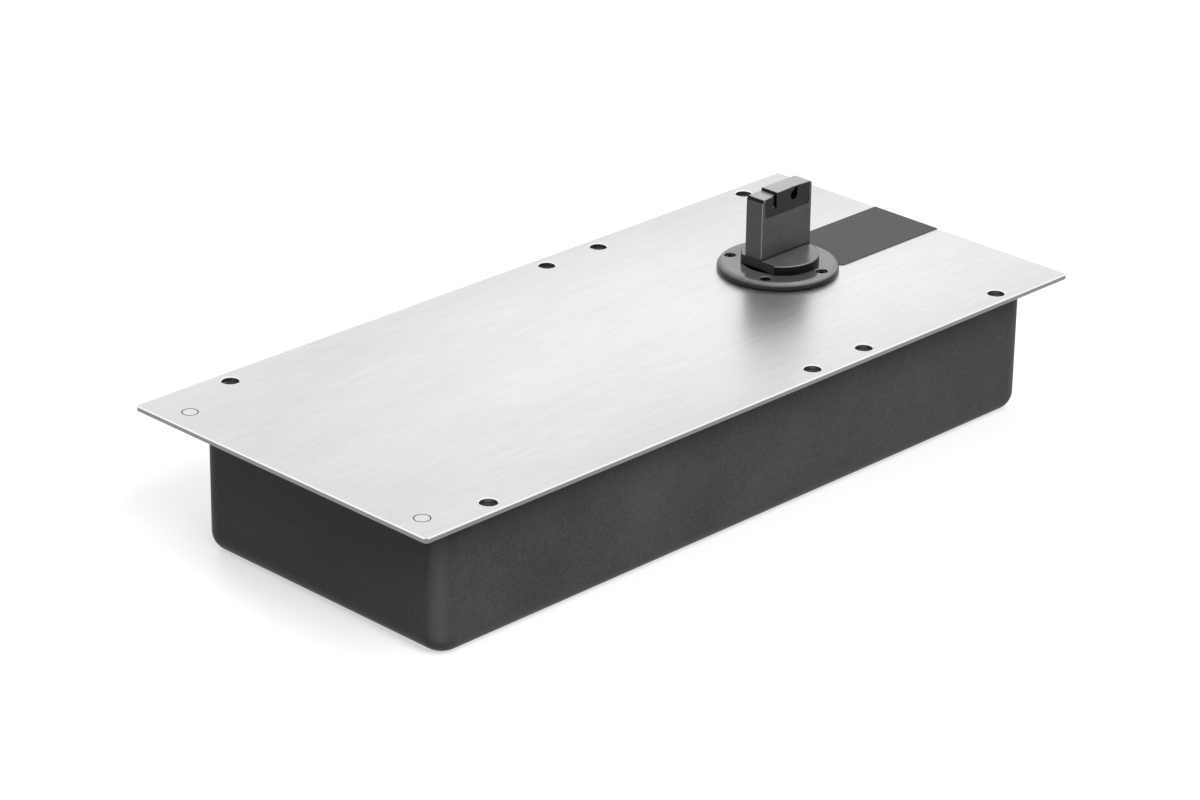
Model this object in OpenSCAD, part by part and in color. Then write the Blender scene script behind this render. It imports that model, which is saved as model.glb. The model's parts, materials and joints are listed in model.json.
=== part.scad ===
// Floor spring for a hinged door: a cam closer in a floor case under a cover plate.
// Origin: centre of the cover plate, at the underside of the case. X runs along the
// length towards the spindle, Y towards the far long edge, Z up. Millimetres.

/* [Cover plate] */
// Length of the cover plate
plate_l = 350; // [346:1:380]
// Width of the cover plate
plate_w = 156; // [153:1:176]
// Thickness of the cover plate
plate_t = 2; // [1.5:0.25:3]
// Radius of the plate's eased top edges
plate_edge_r = 0.7; // [0.3:0.1:1]
// Radius of the plate's corners, seen from above
plate_corner_r = 1.5; // [1:0.5:6]
// Height from the underside of the case to the top of the plate
overall_h = 60; // [60:1:70]
// Diameter of the plate's screw holes
plate_hole_d = 6.8; // [5.5:0.1:7]
// Distance from a long edge of the plate to its screw holes
plate_hole_inset = 6.8; // [6.2:0.1:7.4]
// Distance from the plate's spindle end to the middle of the four middle holes
mid_holes_inset = 129.6; // [125:0.1:139]
// Spacing of the middle holes along the plate
mid_holes_pitch = 29.2; // [20:0.1:34]
// Distance from both ends of the plate to the corner holes of the near edge
near_hole_inset = 36.3; // [30:0.1:45]
// Distance from the plate's blank end to the corner hole of the far edge
far_hole_blank_inset = 40; // [32:0.1:45]
// Distance from the plate's spindle end to the corner hole of the far edge
far_hole_end_inset = 28.8; // [26:0.1:42]
// Chamfer of the screw holes at the top of the plate
hole_chamfer = 0.4; // [0.2:0.1:0.6]
// Diameter of the two press-in plugs near the blank end
plug_d = 6.5; // [4:0.1:8]
// Distance from the blank end of the plate to the plugs
plug_inset = 10.5; // [8:0.1:14]
// Place of the far plug across the plate
plug_far_y = 59.5; // [50:0.1:66]
// Place of the near plug across the plate
plug_near_y = -64.8; // [-66:0.1:-50]
// Width of the information strip bonded to the plate
strip_w = 33.6; // [24:0.1:40]
// Place of the strip's centre line across the plate
strip_y = 6.2; // [4:0.1:8]
// Thickness of the strip
strip_t = 0.3; // [0.2:0.1:0.6]
// Radius of the strip's corners at the cover ring
strip_corner_r = 2; // [1:0.25:3]

/* [Case] */
// Distance from the plate's blank end to the case
case_blank_inset = 18.8; // [16:0.1:20]
// Distance from the plate's spindle end to the case
case_end_inset = 8.2; // [6:0.1:10]
// Distance from the plate's long edges to the case
case_side_inset = 13; // [11:0.1:13.5]
// Sheet thickness of the case
case_t = 2; // [1.5:0.25:2]
// Outer radius of the case's upright corners
case_r = 9.5; // [9:0.5:12]
// Outer radius between the case's walls and floor
case_fillet = 8; // [5:0.5:8.5]
// How far the rim stays inside the plate's edges
rim_setback = 3.5; // [2:0.1:4]
// Diameter of the tapped holes in the rim
rim_tap_d = 5; // [4.2:0.1:5.2]

/* [Cover ring] */
// Outer diameter of the cover ring round the spindle
ring_d = 48.8; // [47:0.1:50]
// Bore of the cover ring
ring_bore_d = 29; // [28:0.5:31]
// Height of the cover ring above the plate
ring_h = 3.4; // [2.5:0.1:4]
// Radius of the ring's outer top edge
ring_edge_r = 2.3; // [1:0.1:2.4]
// Radius on which the ring's screws lie
ring_screw_r = 19.8; // [18.5:0.1:20]
// Diameter of the ring's screw heads
ring_head_d = 4.4; // [3.8:0.1:4.8]

/* [Spindle] */
// Distance of the spindle axis from the plate's spindle end
spindle_inset = 80; // [77:0.1:84]
// Distance of the spindle axis from the plate's centre line
spindle_y = 5.2; // [3:0.1:7]
// Length of the drive block that the door shoe grips
block_l = 29; // [27:0.1:31]
// Thickness of the drive block
block_t = 8.8; // [7:0.1:10]
// Height of the drive block above its base
block_h = 26.8; // [18:0.1:34]
// Shift of the block along the case, off the spindle's axis
block_shift_x = 1.5; // [1:0.1:2]
// Shift of the block across the case, off the spindle's axis
block_shift_y = 1.8; // [0:0.1:2]
// Drop of the block's lower step
step_drop = 1.2; // [0.8:0.1:2]
// Place of the step along the block
step_x = -6.1; // [-9:0.1:-4]
// Width of the pointer slot beside the step
slot_w = 1.6; // [1:0.1:2]
// Height of the block's round base
base_h = 3.7; // [3:0.1:5]
// Base diameter at its foot
base_foot_d = 32.8; // [32.4:0.1:34]
// Base diameter at its top
base_top_d = 32.2; // [31.4:0.1:32.2]
// Diameter of the upper journal and cam seat
shaft_d = 20; // [18:0.5:20]
// Diameter of the lower journal
journal_d = 15; // [12:0.5:15]
// Diameter of the shoulder between cam and upper bearing
collar_d = 25; // [24:0.5:26]

/* [Cam and piston] */
// Largest opening angle of the spindle
open_angle = 120; // [90:5:130]
// Piston travel for each radian of spindle turn
cam_lead = 8; // [6:0.1:8.4]
// Distance from the spindle axis to the roller axis with the door shut
cam_start = 25; // [24.5:0.1:26]
// Thickness of the cam
cam_t = 13; // [10:0.5:13]
// Running gap between cam and roller
cam_gap = 0.1; // [0.05:0.05:0.3]
// Diameter of the cam roller
roller_d = 20; // [18:0.5:20]
// Width of the cam roller
roller_w = 12; // [9:0.5:12]
// Diameter of the roller's axle
axle_d = 10; // [8:0.5:10]
// Diameter of the cylinder bore
bore_d = 36; // [35:0.5:37]
// Radial running clearance of turning and sliding fits
run_gap = 0.05; // [0.02:0.01:0.08]
// Length of the piston's guided part
piston_l = 38; // [36:1:42]
// Thickness of each fork arm
arm_t = 4; // [3:0.25:4.25]
// Diameter of the check ball
check_d = 6.35; // [5:0.05:6.5]
// Lift of the check ball
check_lift = 0.8; // [0.5:0.1:1.2]

/* [Closing spring] */
// Wire diameter of the closing spring
wire_d = 6.5; // [5:0.25:6.5]
// Outer diameter of the closing spring
spring_d = 33; // [31:0.5:33]
// Target pitch of the spring's live turns, met as nearly as whole turns allow
spring_pitch = 9.9; // [9:0.1:12]

/* [Closer body] */
// Height of the closer body above the case floor
body_gap = 1; // [1:0.5:2]
// Space between the closer's lid and the cover plate
lid_clear = 1.5; // [1:0.25:2]
// Space between the case's blank end and the closer body
body_end_clear = 8.2; // [6:0.1:12]
// Length of the head round the spindle
head_l = 78; // [78:1:84]
// Width of the head
head_w = 80; // [80:1:86]
// Corner radius of the head
head_r = 14; // [10:1:16]
// Radius of the cam chamber
chamber_r = 34; // [33.5:0.25:34.5]
// Wall of the barrel on its plain side
barrel_wall = 5; // [4.5:0.5:8]
// Wall of the barrel on the side with the oil gallery
gallery_wall = 12; // [12:0.5:14]
// Thickness of the lid over the cam chamber
lid_t = 7; // [7:0.25:7.5]
// Thickness of the lid's gasket
gasket_t = 0.5; // [0.3:0.1:0.8]
// Diameter of the oil gallery
gallery_d = 3.5; // [2.5:0.5:4]
// Diameter of the speed valves
valve_d = 8; // [7:0.5:8]

/* [Hidden] */
$fn = 64;
// A cut runs past a face by this much
over = 1;
// Clearance between mating pieces that don't move
fit_gap = 0.02;

// Heights of the plate and the rim
plate_top = overall_h;
plate_low = plate_top - plate_t;
rim_t = case_t;
rim_low = plate_low - rim_t;
rim_corner_r = 4;
end_x = plate_l / 2;
hole_y = plate_w / 2 - plate_hole_inset;
mid_holes_x = end_x - mid_holes_inset;
screw_places = concat(
    [for (s = [-1, 1], t = [-1, 1]) [mid_holes_x + s * mid_holes_pitch / 2, t * hole_y]],
    [for (s = [-1, 1]) [s * (end_x - near_hole_inset), -hole_y]],
    [[far_hole_blank_inset - end_x, hole_y], [end_x - far_hole_end_inset, hole_y]]
);
plug_groove_w = 0.45;
plug_groove_deep = 1;
plug_places = [
    [plug_inset - plate_l / 2, plug_far_y],
    [plug_inset - plate_l / 2, plug_near_y]
];

// Case outline
case_l = plate_l - case_blank_inset - case_end_inset;
case_w = plate_w - 2 * case_side_inset;
case_x = (case_blank_inset - case_end_inset) / 2;

// Spindle axis and cover ring
spindle_x = end_x - spindle_inset;
ring_top = plate_top + ring_h;
ring_screw_angles = [2, 118, 208, 283];
ring_sink = 0.5;
ring_head_h = 1.4;
ring_shank_d = 2.5;
ring_chamfer = 0.25;
ring_screw_low = plate_low - 0.8;
strip_ring_gap = 0.25;
strip_end_r = ring_d / 2 + strip_ring_gap;

// Drive block and its base
base_low = ring_top + 0.3;
base_top = base_low + base_h;
block_top = base_top + block_h;
block_edge_r = 0.9;
base_chamfer = 0.5;
end_chamfer = 0.7;
corner_r = 1.1;
foot_fillet = 1;
face_recess = 0.2;
face_recess_h = 9.4;
face_recess_side = 1.6;
mark_depth = 0.8;
slot_reach = 4.1;
arrow_drop = 4.5;
arrow_w = 2.5;
arrow_h = 1.3;
// The drop-shaped hole: a low and a high circle, [x, height from the block's top]
drop_hole_depth = 4;
drop_low_r = 1.85;
drop_high_r = 0.65;
drop_low = [3.6, -3.4];
drop_high = [drop_low[0] + drop_low_r - drop_high_r, -0.95];
drop_axis = (drop_high - drop_low) / norm(drop_high - drop_low);
drop_left = 2 * drop_axis[0] * drop_axis - [1, 0];
notch_x = 2.6;
notch_w = 1.4;
notch_cut = 0.7;

// Closer body and lid heights
body_low = case_t + body_gap;
body_h = plate_low - lid_clear - lid_t - gasket_t - body_low;
body_top = body_low + body_h;
body_end_x = case_x - case_l / 2 + case_t + body_end_clear;
bore_z = body_low + body_h / 2;
floor_t = 5;
chamber_low = body_low + floor_t;
boss_h = 4;
boss_r = 22;
bore_stop = 4;
lid_low = body_top + gasket_t;
lid_top = lid_low + lid_t;
lid_screw_end_inset = 8;
lid_screw_side_inset = 9;
lid_screw_x = head_l / 2 - lid_screw_end_inset;
lid_screw_y = head_w / 2 - lid_screw_side_inset;
lid_screw_places = [for (s = [-1, 1], t = [-1, 1]) [s * lid_screw_x, t * lid_screw_y]];
lid_screw_d = 6;
lid_head_d = 11;
lid_cone_h = (lid_head_d - lid_screw_d) / 2;
lid_screw_reach = 13;
lid_screw_low = body_top - lid_screw_reach;
hex_socket_d = 4.6;
filler_end_inset = 11;
filler_x = head_l / 2 - filler_end_inset;
filler_d = 6;
filler_head_d = 9;
filler_head_h = 2.5;

// Bearings: [bore radius, outer radius, pitch radius, ball radius, number of balls]
lower_bearing = [journal_d / 2, 16, 11.75, 2.38, 9];
upper_bearing = [shaft_d / 2, 18.5, 14.25, 2.5, 11];
bearing_w = 9;
lower_bearing_rise = 2.5;
upper_bearing_drop = 6.5;
lower_bearing_z = body_low + lower_bearing_rise;
upper_bearing_z = lid_low - upper_bearing_drop;
race_land = 0.52;
race_gap = 0.08;
cage_half = 0.35;
cage_rim = 0.8;
seal_low = upper_bearing_z + bearing_w + 1;
seal_r = 15;
lid_boss_wall = 4;
lid_boss_low = upper_bearing_z - 0.5;
lid_boss_r = upper_bearing[1] + lid_boss_wall;

// Cam: each point of the working flank lies one roller radius inside the roller's path
roller_r = roller_d / 2;
cam_low = bore_z - cam_t / 2;
cam_top = bore_z + cam_t / 2;
lead_in = 10;
lead_out = 3;
cam_step = 3;
function cam_path_r(u) = cam_start + cam_lead * u * PI / 180;
function cam_path(u) = cam_path_r(u) * [-cos(u), sin(u)];
function cam_slope(u) = let (r = cam_path_r(u), a = 180 - u, d = -cam_lead)
    [r * cos(a) + d * sin(a), r * sin(a) - d * cos(a)] / norm([r, d]);
function cam_flank(u) = cam_path(u) - (roller_r + cam_gap) * cam_slope(u);
flank_end_u = open_angle + lead_out;
flank_points = [for (i = [0:cam_step:lead_in + flank_end_u]) cam_flank(i - lead_in)];
flank_last = flank_points[len(flank_points) - 1];
back_from = atan2(flank_last[1], flank_last[0]);
back_to = atan2(flank_points[0][1], flank_points[0][0]) - 360;
back_r0 = norm(flank_last);
back_r1 = norm(flank_points[0]);
back_count = 40;
back_points = [for (i = [1:back_count - 1]) let (
        f = i / back_count,
        a = back_from + (back_to - back_from) * f,
        r = back_r0 + (back_r1 - back_r0) * (1 - cos(180 * f)) / 2
    ) r * [cos(a), sin(a)]];
key_w = 5;
key_l = cam_t - 2;
key_depth = 2.5;
circlip_t = 1.2;
circlip_groove = 0.6;
circlip_low = cam_low - 0.1 - circlip_t;

// Piston, fork and roller, with the door shut
roller_x = spindle_x - cam_start;
slot_h = cam_t + 1;
arm_wall = 3.5;
arm_r = axle_d / 2 + arm_wall;
fork_clear = 2.5;
fork_root_x = roller_x - roller_r - fork_clear;
crown_x = fork_root_x - piston_l;
full_end_x = fork_root_x + 1;
piston_r = bore_d / 2 - run_gap;
spigot_l = 6;
seal_groove_w = 4;
seal_groove_depth = 2.5;
seal_back = 6;
seal_groove_x = crown_x + seal_back;
passage_d = 4;
pocket_d = 8;
seat_back = 13;
seat_x = fork_root_x - seat_back;
seat_run = (pocket_d - passage_d) / 2;
check_ball_x = seat_x - passage_d / 2 + (check_d / 2 + run_gap) * sqrt(2);
check_cap_t = 3;
check_cap_x = check_ball_x + check_d / 2 + check_lift + 0.2;
washer_t = (slot_h - roller_w) / 2 - 2 * run_gap;
bush_wall = 1.5;

// Spring and its plug
plug_len = 16;
plug_thread_wall = 2;
plug_thread_d = bore_d + 2 * plug_thread_wall;
plug_face_x = body_end_x + plug_len;
spring_gap = 0.3;
spigot_gap = 0.6;
spigot_r = (spring_d - 2 * wire_d) / 2 - spigot_gap;
oring_d = 2.6;
oring_back = 6;
oring_x = plug_face_x - oring_back;
dead_turns = 1;
dead_pitch = wire_d + 0.5;
spring_sides = 8;
spring_steps = 10;

// Feet, studs and levelling screws: the left foot clears the barrel, the right foot stands
// out past the head
foot_t = 10;
foot_top = body_low + foot_t;
foot_r = 6;
foot_margin = 8;
left_foot_back = 22;
left_foot_x = body_end_x + left_foot_back;
left_foot_w = 28;
right_foot_shift = 2;
right_foot_x = spindle_x + head_l / 2 + right_foot_shift;
right_foot_w = 36;
barrel_clear = 7;
left_row_y = bore_d / 2 + gallery_wall + barrel_clear;
// Pairs of fastenings on a foot: [shift along the case from the foot's middle, half spacing]
left_studs = [-6.5, left_row_y];
left_levels = [7, left_row_y];
right_studs = [6.5, 36];
right_levels = [6.5, 20];
left_foot_l = 2 * (left_studs[1] + foot_margin);
right_foot_l = 2 * (right_studs[1] + foot_margin);
function pair(foot_x, row) = [for (t = [-1, 1]) [foot_x + row[0], spindle_y + t * row[1]]];
stud_places = concat(pair(left_foot_x, left_studs), pair(right_foot_x, right_studs));
level_places = concat(pair(left_foot_x, left_levels), pair(right_foot_x, right_levels));
stud_d = 6;
stud_hole_d = 7.5;
stud_slot = 4;
stud_rise = 10;
stud_top = foot_top + stud_rise;
level_d = 8;
level_rise = 7;
level_top = foot_top + level_rise;
stud_flange_d = 8;
stud_flange_t = 0.9;
washer_d = 12;
clamp_washer_t = 1.2;
nut_af = 10;
nut_h = 5;

// Oil gallery and valves
gallery_y = spindle_y + bore_d / 2 + gallery_wall / 2;
closing_valve_back = 59;
latching_valve_back = 91;
cross_back = 129;
closing_valve_x = spindle_x - closing_valve_back;
latching_valve_x = spindle_x - latching_valve_back;
valve_seat_rise = 10;
valve_seat_z = bore_z + valve_seat_rise;
needle_d = 3;
needle_hole_d = 3.4;
needle_lift = 0.4;
needle_low = bore_z + gallery_d / 2 + needle_lift;
cross_x = spindle_x - cross_back;
cross_d = 3;
gallery_plug_l = 6;
valve_oring_d = 1.7;

// A flat rectangle with round corners, about its centre
module rounded_rect(l, w, r) {
    square([l - 2 * r, w], center = true);
    square([l, w - 2 * r], center = true);
    for (s = [-1, 1], t = [-1, 1])
        translate([s * (l / 2 - r), t * (w / 2 - r)]) circle(r);
}

// A cylinder that lies along X from x0 to x1
module bar_x(x0, x1, d) {
    translate([x0, 0, 0]) rotate([0, 90, 0]) cylinder(h = x1 - x0, d = d);
}

// Shapes that stand on the spindle axis
module at_spindle() {
    translate([spindle_x, spindle_y, 0]) children();
}

// Shapes that lie about the cylinder bore's axis
module at_bore() {
    translate([0, spindle_y, bore_z]) children();
}

// The same shape at each place of a list
module at_each(places) {
    for (p = places) translate([p[0], p[1], 0]) children();
}

// Half of the case's section: floor strip, bend and wall, outward from a corner's centre
module pan_section() {
    bend_x = case_r - case_fillet;
    square([bend_x, case_t]);
    translate([bend_x, case_fillet]) intersection() {
        difference() {
            circle(case_fillet);
            circle(case_fillet - case_t);
        }
        translate([0, -case_fillet]) square(case_fillet);
    }
    translate([case_r - case_t, case_fillet]) square([case_t, rim_low - case_fillet]);
}

module case_pan() {
    straight_l = case_l - 2 * case_r;
    straight_w = case_w - 2 * case_r;
    rim_l = plate_l - 2 * rim_setback;
    rim_w = plate_w - 2 * rim_setback;
    color([0.16, 0.16, 0.17]) {
        translate([case_x, 0, 0]) {
            translate([-straight_l / 2, -straight_w / 2, 0]) cube([straight_l, straight_w, case_t]);
            for (t = [0, 1]) mirror([0, t, 0])
                translate([-straight_l / 2, straight_w / 2, 0])
                    rotate([90, 0, 90]) linear_extrude(straight_l) pan_section();
            for (s = [0, 1]) mirror([s, 0, 0])
                translate([straight_l / 2, straight_w / 2, 0])
                    rotate([90, 0, 0]) linear_extrude(straight_w) pan_section();
            for (s = [0, 1], t = [0, 1]) mirror([s, 0, 0]) mirror([0, t, 0])
                translate([straight_l / 2, straight_w / 2, 0])
                    rotate_extrude(angle = 90) pan_section();
        }
        translate([0, 0, rim_low]) linear_extrude(rim_t) difference() {
            rounded_rect(rim_l, rim_w, rim_corner_r);
            translate([case_x, 0]) rounded_rect(case_l - 2 * case_t, case_w - 2 * case_t, case_r - case_t);
            at_each(screw_places) circle(d = rim_tap_d);
        }
    }
}

// Section across the plate with its two top edges eased
module plate_section(w) {
    translate([-w / 2, 0]) square([w, plate_t - plate_edge_r]);
    translate([plate_edge_r - w / 2, 0]) square([w - 2 * plate_edge_r, plate_t]);
    for (s = [-1, 1])
        translate([s * (w / 2 - plate_edge_r), plate_t - plate_edge_r]) circle(plate_edge_r, $fn = 24);
}

// Outline of the information strip, from the cover ring to the plate's eased end
module strip_outline() {
    difference() {
        translate([spindle_x, strip_y - strip_w / 2]) square([spindle_inset - plate_edge_r, strip_w]);
        translate([spindle_x, spindle_y]) {
            circle(strip_end_r);
            for (s = [-1, 1]) strip_corner(strip_y - spindle_y + s * strip_w / 2, s);
        }
    }
}

// What comes off the strip's corner between the ring and the long edge on side s, which
// lies at y from the spindle axis
module strip_corner(y, s) {
    reach = strip_end_r + strip_corner_r;
    middle_y = y - s * strip_corner_r;
    middle = [sqrt(reach * reach - middle_y * middle_y), middle_y];
    corner_x = sqrt(strip_end_r * strip_end_r - y * y);
    difference() {
        polygon([
            [corner_x - over, y + s * over], [middle[0], y + s * over], middle, middle * (strip_end_r - over) / reach
        ]);
        translate(middle) circle(strip_corner_r);
    }
}

module cover_plate() {
    color([0.86, 0.86, 0.87]) translate([0, 0, plate_low]) difference() {
        intersection() {
            linear_extrude(plate_t) rounded_rect(plate_l, plate_w, plate_corner_r);
            translate([-plate_l / 2, 0, 0]) rotate([90, 0, 90]) linear_extrude(plate_l) plate_section(plate_w);
            translate([0, plate_w / 2, 0]) rotate([90, 0, 0]) linear_extrude(plate_w) plate_section(plate_l);
        }
        translate([0, 0, -over]) {
            linear_extrude(plate_t + 2 * over) {
                at_each(screw_places) circle(d = plate_hole_d);
                at_each(plug_places) circle(d = plug_d);
                translate([spindle_x, spindle_y]) circle(d = ring_bore_d);
            }
            at_ring_screws() cylinder(h = plate_t + 2 * over, d = ring_shank_d);
        }
        translate([0, 0, plate_t - hole_chamfer]) at_each(screw_places) cylinder(
            h = hole_chamfer + over, d1 = plate_hole_d, d2 = plate_hole_d + 2 * (hole_chamfer + over));
    }
}

module label_strip() {
    color([0.3, 0.3, 0.31]) translate([0, 0, plate_top]) linear_extrude(strip_t) strip_outline();
}

// Press-in plugs, each with a narrow groove left round its top
module plate_plugs() {
    plug_r = plug_d / 2 - fit_gap;
    top_r = plug_d / 2 - plug_groove_w;
    groove_z = plate_t - plug_groove_deep;
    color([0.8, 0.8, 0.81]) translate([0, 0, plate_low]) at_each(plug_places) rotate_extrude() polygon([
        [0, 0], [plug_r, 0], [plug_r, groove_z], [top_r, groove_z], [top_r, plate_t], [0, plate_t]
    ]);
}

// Places of the cover ring's screws
module at_ring_screws() {
    at_spindle() for (a = ring_screw_angles)
        rotate([0, 0, a]) translate([ring_screw_r, 0, 0]) children();
}

module cover_ring() {
    r = ring_d / 2;
    color([0.33, 0.33, 0.34]) difference() {
        at_spindle() translate([0, 0, plate_top]) rotate_extrude($fn = 96) {
            translate([ring_bore_d / 2, 0]) square([r - ring_bore_d / 2 - ring_edge_r, ring_h]);
            translate([ring_bore_d / 2, 0]) square([r - ring_bore_d / 2, ring_h - ring_edge_r]);
            translate([r - ring_edge_r, ring_h - ring_edge_r]) intersection() {
                circle(ring_edge_r);
                square(ring_edge_r);
            }
        }
        at_ring_screws() {
            translate([0, 0, plate_top - over]) cylinder(h = ring_h + 2 * over, d = ring_shank_d);
            translate([0, 0, ring_top - ring_sink - ring_head_h])
                cylinder(h = ring_head_h + over, d = ring_head_d + 0.2);
            translate([0, 0, ring_top - ring_chamfer]) cylinder(
                h = ring_chamfer + over, d1 = ring_head_d + 0.2, d2 = ring_head_d + 0.2 + 2 * (ring_chamfer + over));
        }
    }
}

module ring_screws() {
    head_low = ring_top - ring_sink - ring_head_h;
    socket_d = 2.2;
    color([0.2, 0.2, 0.2]) at_ring_screws() difference() {
        union() {
            translate([0, 0, head_low]) cylinder(h = ring_head_h, d = ring_head_d);
            translate([0, 0, ring_screw_low])
                cylinder(h = head_low - ring_screw_low + 0.1, d = ring_shank_d - 2 * fit_gap);
        }
        translate([0, 0, head_low + ring_head_h / 2]) cylinder(h = ring_head_h, d = socket_d, $fn = 6);
    }
}

// Section of the closer's barrel, Y to the right and Z up
module barrel_section() {
    y0 = -bore_d / 2 - barrel_wall;
    y1 = bore_d / 2 + gallery_wall;
    r = 6;
    translate([(y0 + y1) / 2, body_h / 2]) rounded_rect(y1 - y0, body_h, r);
}

// Outline of one cross foot
module foot(x, w, l) {
    translate([x, spindle_y, body_low]) linear_extrude(foot_t) rounded_rect(w, l, foot_r);
}

// A slot across the body for a stud, so that the body can be shifted when it is set
module stud_slot_cut() {
    translate([0, 0, body_low - over]) linear_extrude(foot_t + 2 * over) {
        square([stud_hole_d, stud_slot], center = true);
        for (t = [-1, 1]) translate([0, t * stud_slot / 2]) circle(d = stud_hole_d);
    }
}

module closer_body() {
    color([0.36, 0.38, 0.4]) difference() {
        union() {
            at_spindle() translate([0, 0, body_low]) linear_extrude(body_h) rounded_rect(head_l, head_w, head_r);
            translate([body_end_x, spindle_y, body_low]) rotate([90, 0, 90])
                linear_extrude(spindle_x - head_l / 2 + head_r - body_end_x) barrel_section();
            foot(left_foot_x, left_foot_w, left_foot_l);
            foot(right_foot_x, right_foot_w, right_foot_l);
        }
        at_bore() {
            bar_x(body_end_x - over, spindle_x - boss_r - bore_stop, bore_d);
            bar_x(body_end_x - over, plug_face_x, plug_thread_d);
        }
        at_spindle() {
            difference() {
                translate([0, 0, chamber_low]) cylinder(h = body_h, r = chamber_r, $fn = 96);
                cylinder(h = chamber_low + boss_h, r = boss_r);
            }
            translate([0, 0, lower_bearing_z]) cylinder(h = body_h, r = lower_bearing[1]);
            translate([0, 0, lower_bearing_z - 0.5]) cylinder(h = body_h, r = lower_bearing[1] - 3.5);
            at_each(lid_screw_places) translate([0, 0, lid_screw_low - 1])
                cylinder(h = body_h, d = lid_screw_d + 2 * fit_gap);
        }
        at_each(stud_places) stud_slot_cut();
        at_each(level_places) translate([0, 0, body_low - over])
            cylinder(h = foot_t + 2 * over, d = level_d + 2 * fit_gap);
        translate([0, gallery_y, bore_z]) bar_x(body_end_x - over, spindle_x - boss_r, gallery_d);
        translate([cross_x, spindle_y + bore_d / 2 - over, bore_z]) rotate([-90, 0, 0])
            cylinder(h = gallery_wall + 2 * over, d = cross_d);
        at_each([[closing_valve_x, gallery_y], [latching_valve_x, gallery_y]]) {
            translate([0, 0, valve_seat_z]) cylinder(h = body_h, d = valve_d);
            translate([0, 0, bore_z]) cylinder(h = body_h, d = needle_hole_d);
        }
    }
}

module body_lid() {
    color([0.42, 0.43, 0.45]) at_spindle() difference() {
        union() {
            translate([0, 0, lid_low]) linear_extrude(lid_t) rounded_rect(head_l, head_w, head_r);
            translate([0, 0, lid_boss_low]) cylinder(h = lid_low - lid_boss_low + 1, r = lid_boss_r);
        }
        translate([0, 0, lid_boss_low - over])
            cylinder(h = upper_bearing_z + bearing_w - lid_boss_low + over, r = upper_bearing[1]);
        translate([0, 0, seal_low]) cylinder(h = lid_t, r = seal_r);
        cylinder(h = lid_top + over, r = upper_bearing[2]);
        at_each(lid_screw_places) {
            cylinder(h = lid_top + over, d = lid_screw_d + 0.4);
            translate([0, 0, lid_top - lid_cone_h]) cylinder(
                h = lid_cone_h + over, d1 = lid_screw_d + 2 * fit_gap, d2 = lid_head_d + 2 * fit_gap + 2 * over);
        }
        translate([filler_x, 0, 0]) {
            cylinder(h = lid_top + over, d = filler_d);
            translate([0, 0, lid_top - filler_head_h]) cylinder(h = lid_t, d = filler_head_d + 0.4);
        }
    }
}

module lid_gasket() {
    color([0.24, 0.3, 0.27]) at_spindle() translate([0, 0, body_top]) linear_extrude(gasket_t) difference() {
        rounded_rect(head_l, head_w, head_r);
        circle(chamber_r);
        at_each(lid_screw_places) circle(d = lid_screw_d + 0.6);
    }
}

module lid_screws() {
    socket_deep = 2.5;
    color([0.55, 0.55, 0.56]) at_spindle() at_each(lid_screw_places) difference() {
        rotate_extrude() polygon([
            [0, lid_screw_low], [lid_screw_d / 2, lid_screw_low], [lid_screw_d / 2, lid_top - lid_cone_h],
            [lid_head_d / 2, lid_top], [0, lid_top]
        ]);
        translate([0, 0, lid_top - socket_deep]) cylinder(h = socket_deep + over, d = hex_socket_d, $fn = 6);
    }
}

module filler_screw() {
    color([0.6, 0.6, 0.6]) at_spindle() translate([filler_x, 0, 0]) difference() {
        union() {
            translate([0, 0, lid_low]) cylinder(h = lid_t - filler_head_h, d = filler_d - 2 * fit_gap);
            translate([0, 0, lid_top - filler_head_h]) cylinder(h = filler_head_h - 0.2, d = filler_head_d);
        }
        translate([0, 0, lid_top - filler_head_h + 0.5]) cylinder(h = filler_head_h, d = hex_socket_d, $fn = 6);
    }
}

module shaft_seal() {
    lip_r = shaft_d / 2 + run_gap;
    h = lid_top - seal_low;
    color([0.1, 0.1, 0.1]) at_spindle() translate([0, 0, seal_low]) rotate_extrude()
        polygon([
            [seal_r - fit_gap, 0], [seal_r - fit_gap, h], [lip_r + 1.2, h], [lip_r, h - 1],
            [lip_r, h - 1.8], [lip_r + 1.8, 1.2], [lip_r + 1.8, 0]
        ]);
}

// Rings of a ball bearing b that stands on height z; side 0 is the inner ring, 1 the outer
module bearing_ring(b, z, side) {
    land = b[3] * race_land;
    inner_r = side == 0 ? b[0] + fit_gap : b[2] + land;
    outer_r = side == 0 ? b[2] - land : b[1] - fit_gap;
    at_spindle() translate([0, 0, z]) rotate_extrude($fn = 96) difference() {
        translate([inner_r, 0]) square([outer_r - inner_r, bearing_w]);
        translate([b[2], bearing_w / 2]) circle(b[3] + race_gap);
    }
}

module bearing_balls(b, z) {
    at_spindle() translate([0, 0, z + bearing_w / 2]) for (i = [0:b[4] - 1])
        rotate([0, 0, i * 360 / b[4]]) translate([b[2], 0, 0]) sphere(b[3], $fn = 32);
}

module bearing_cage(b, z) {
    half_w = b[3] * cage_half;
    cage_h = 2 * (b[3] + run_gap + cage_rim);
    at_spindle() translate([0, 0, z + bearing_w / 2]) difference() {
        translate([0, 0, -cage_h / 2]) cylinder(h = cage_h, r = b[2] + half_w);
        translate([0, 0, -cage_h]) cylinder(h = 2 * cage_h, r = b[2] - half_w);
        for (i = [0:b[4] - 1]) rotate([0, 0, i * 360 / b[4]])
            bar_x(b[2] - 2 * half_w, b[2] + 2 * half_w, 2 * (b[3] + run_gap));
    }
}

module upper_bearing_outer() {
    color([0.7, 0.7, 0.72]) bearing_ring(upper_bearing, upper_bearing_z, 1);
}

module upper_bearing_inner() {
    color([0.7, 0.7, 0.72]) bearing_ring(upper_bearing, upper_bearing_z, 0);
}

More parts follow.
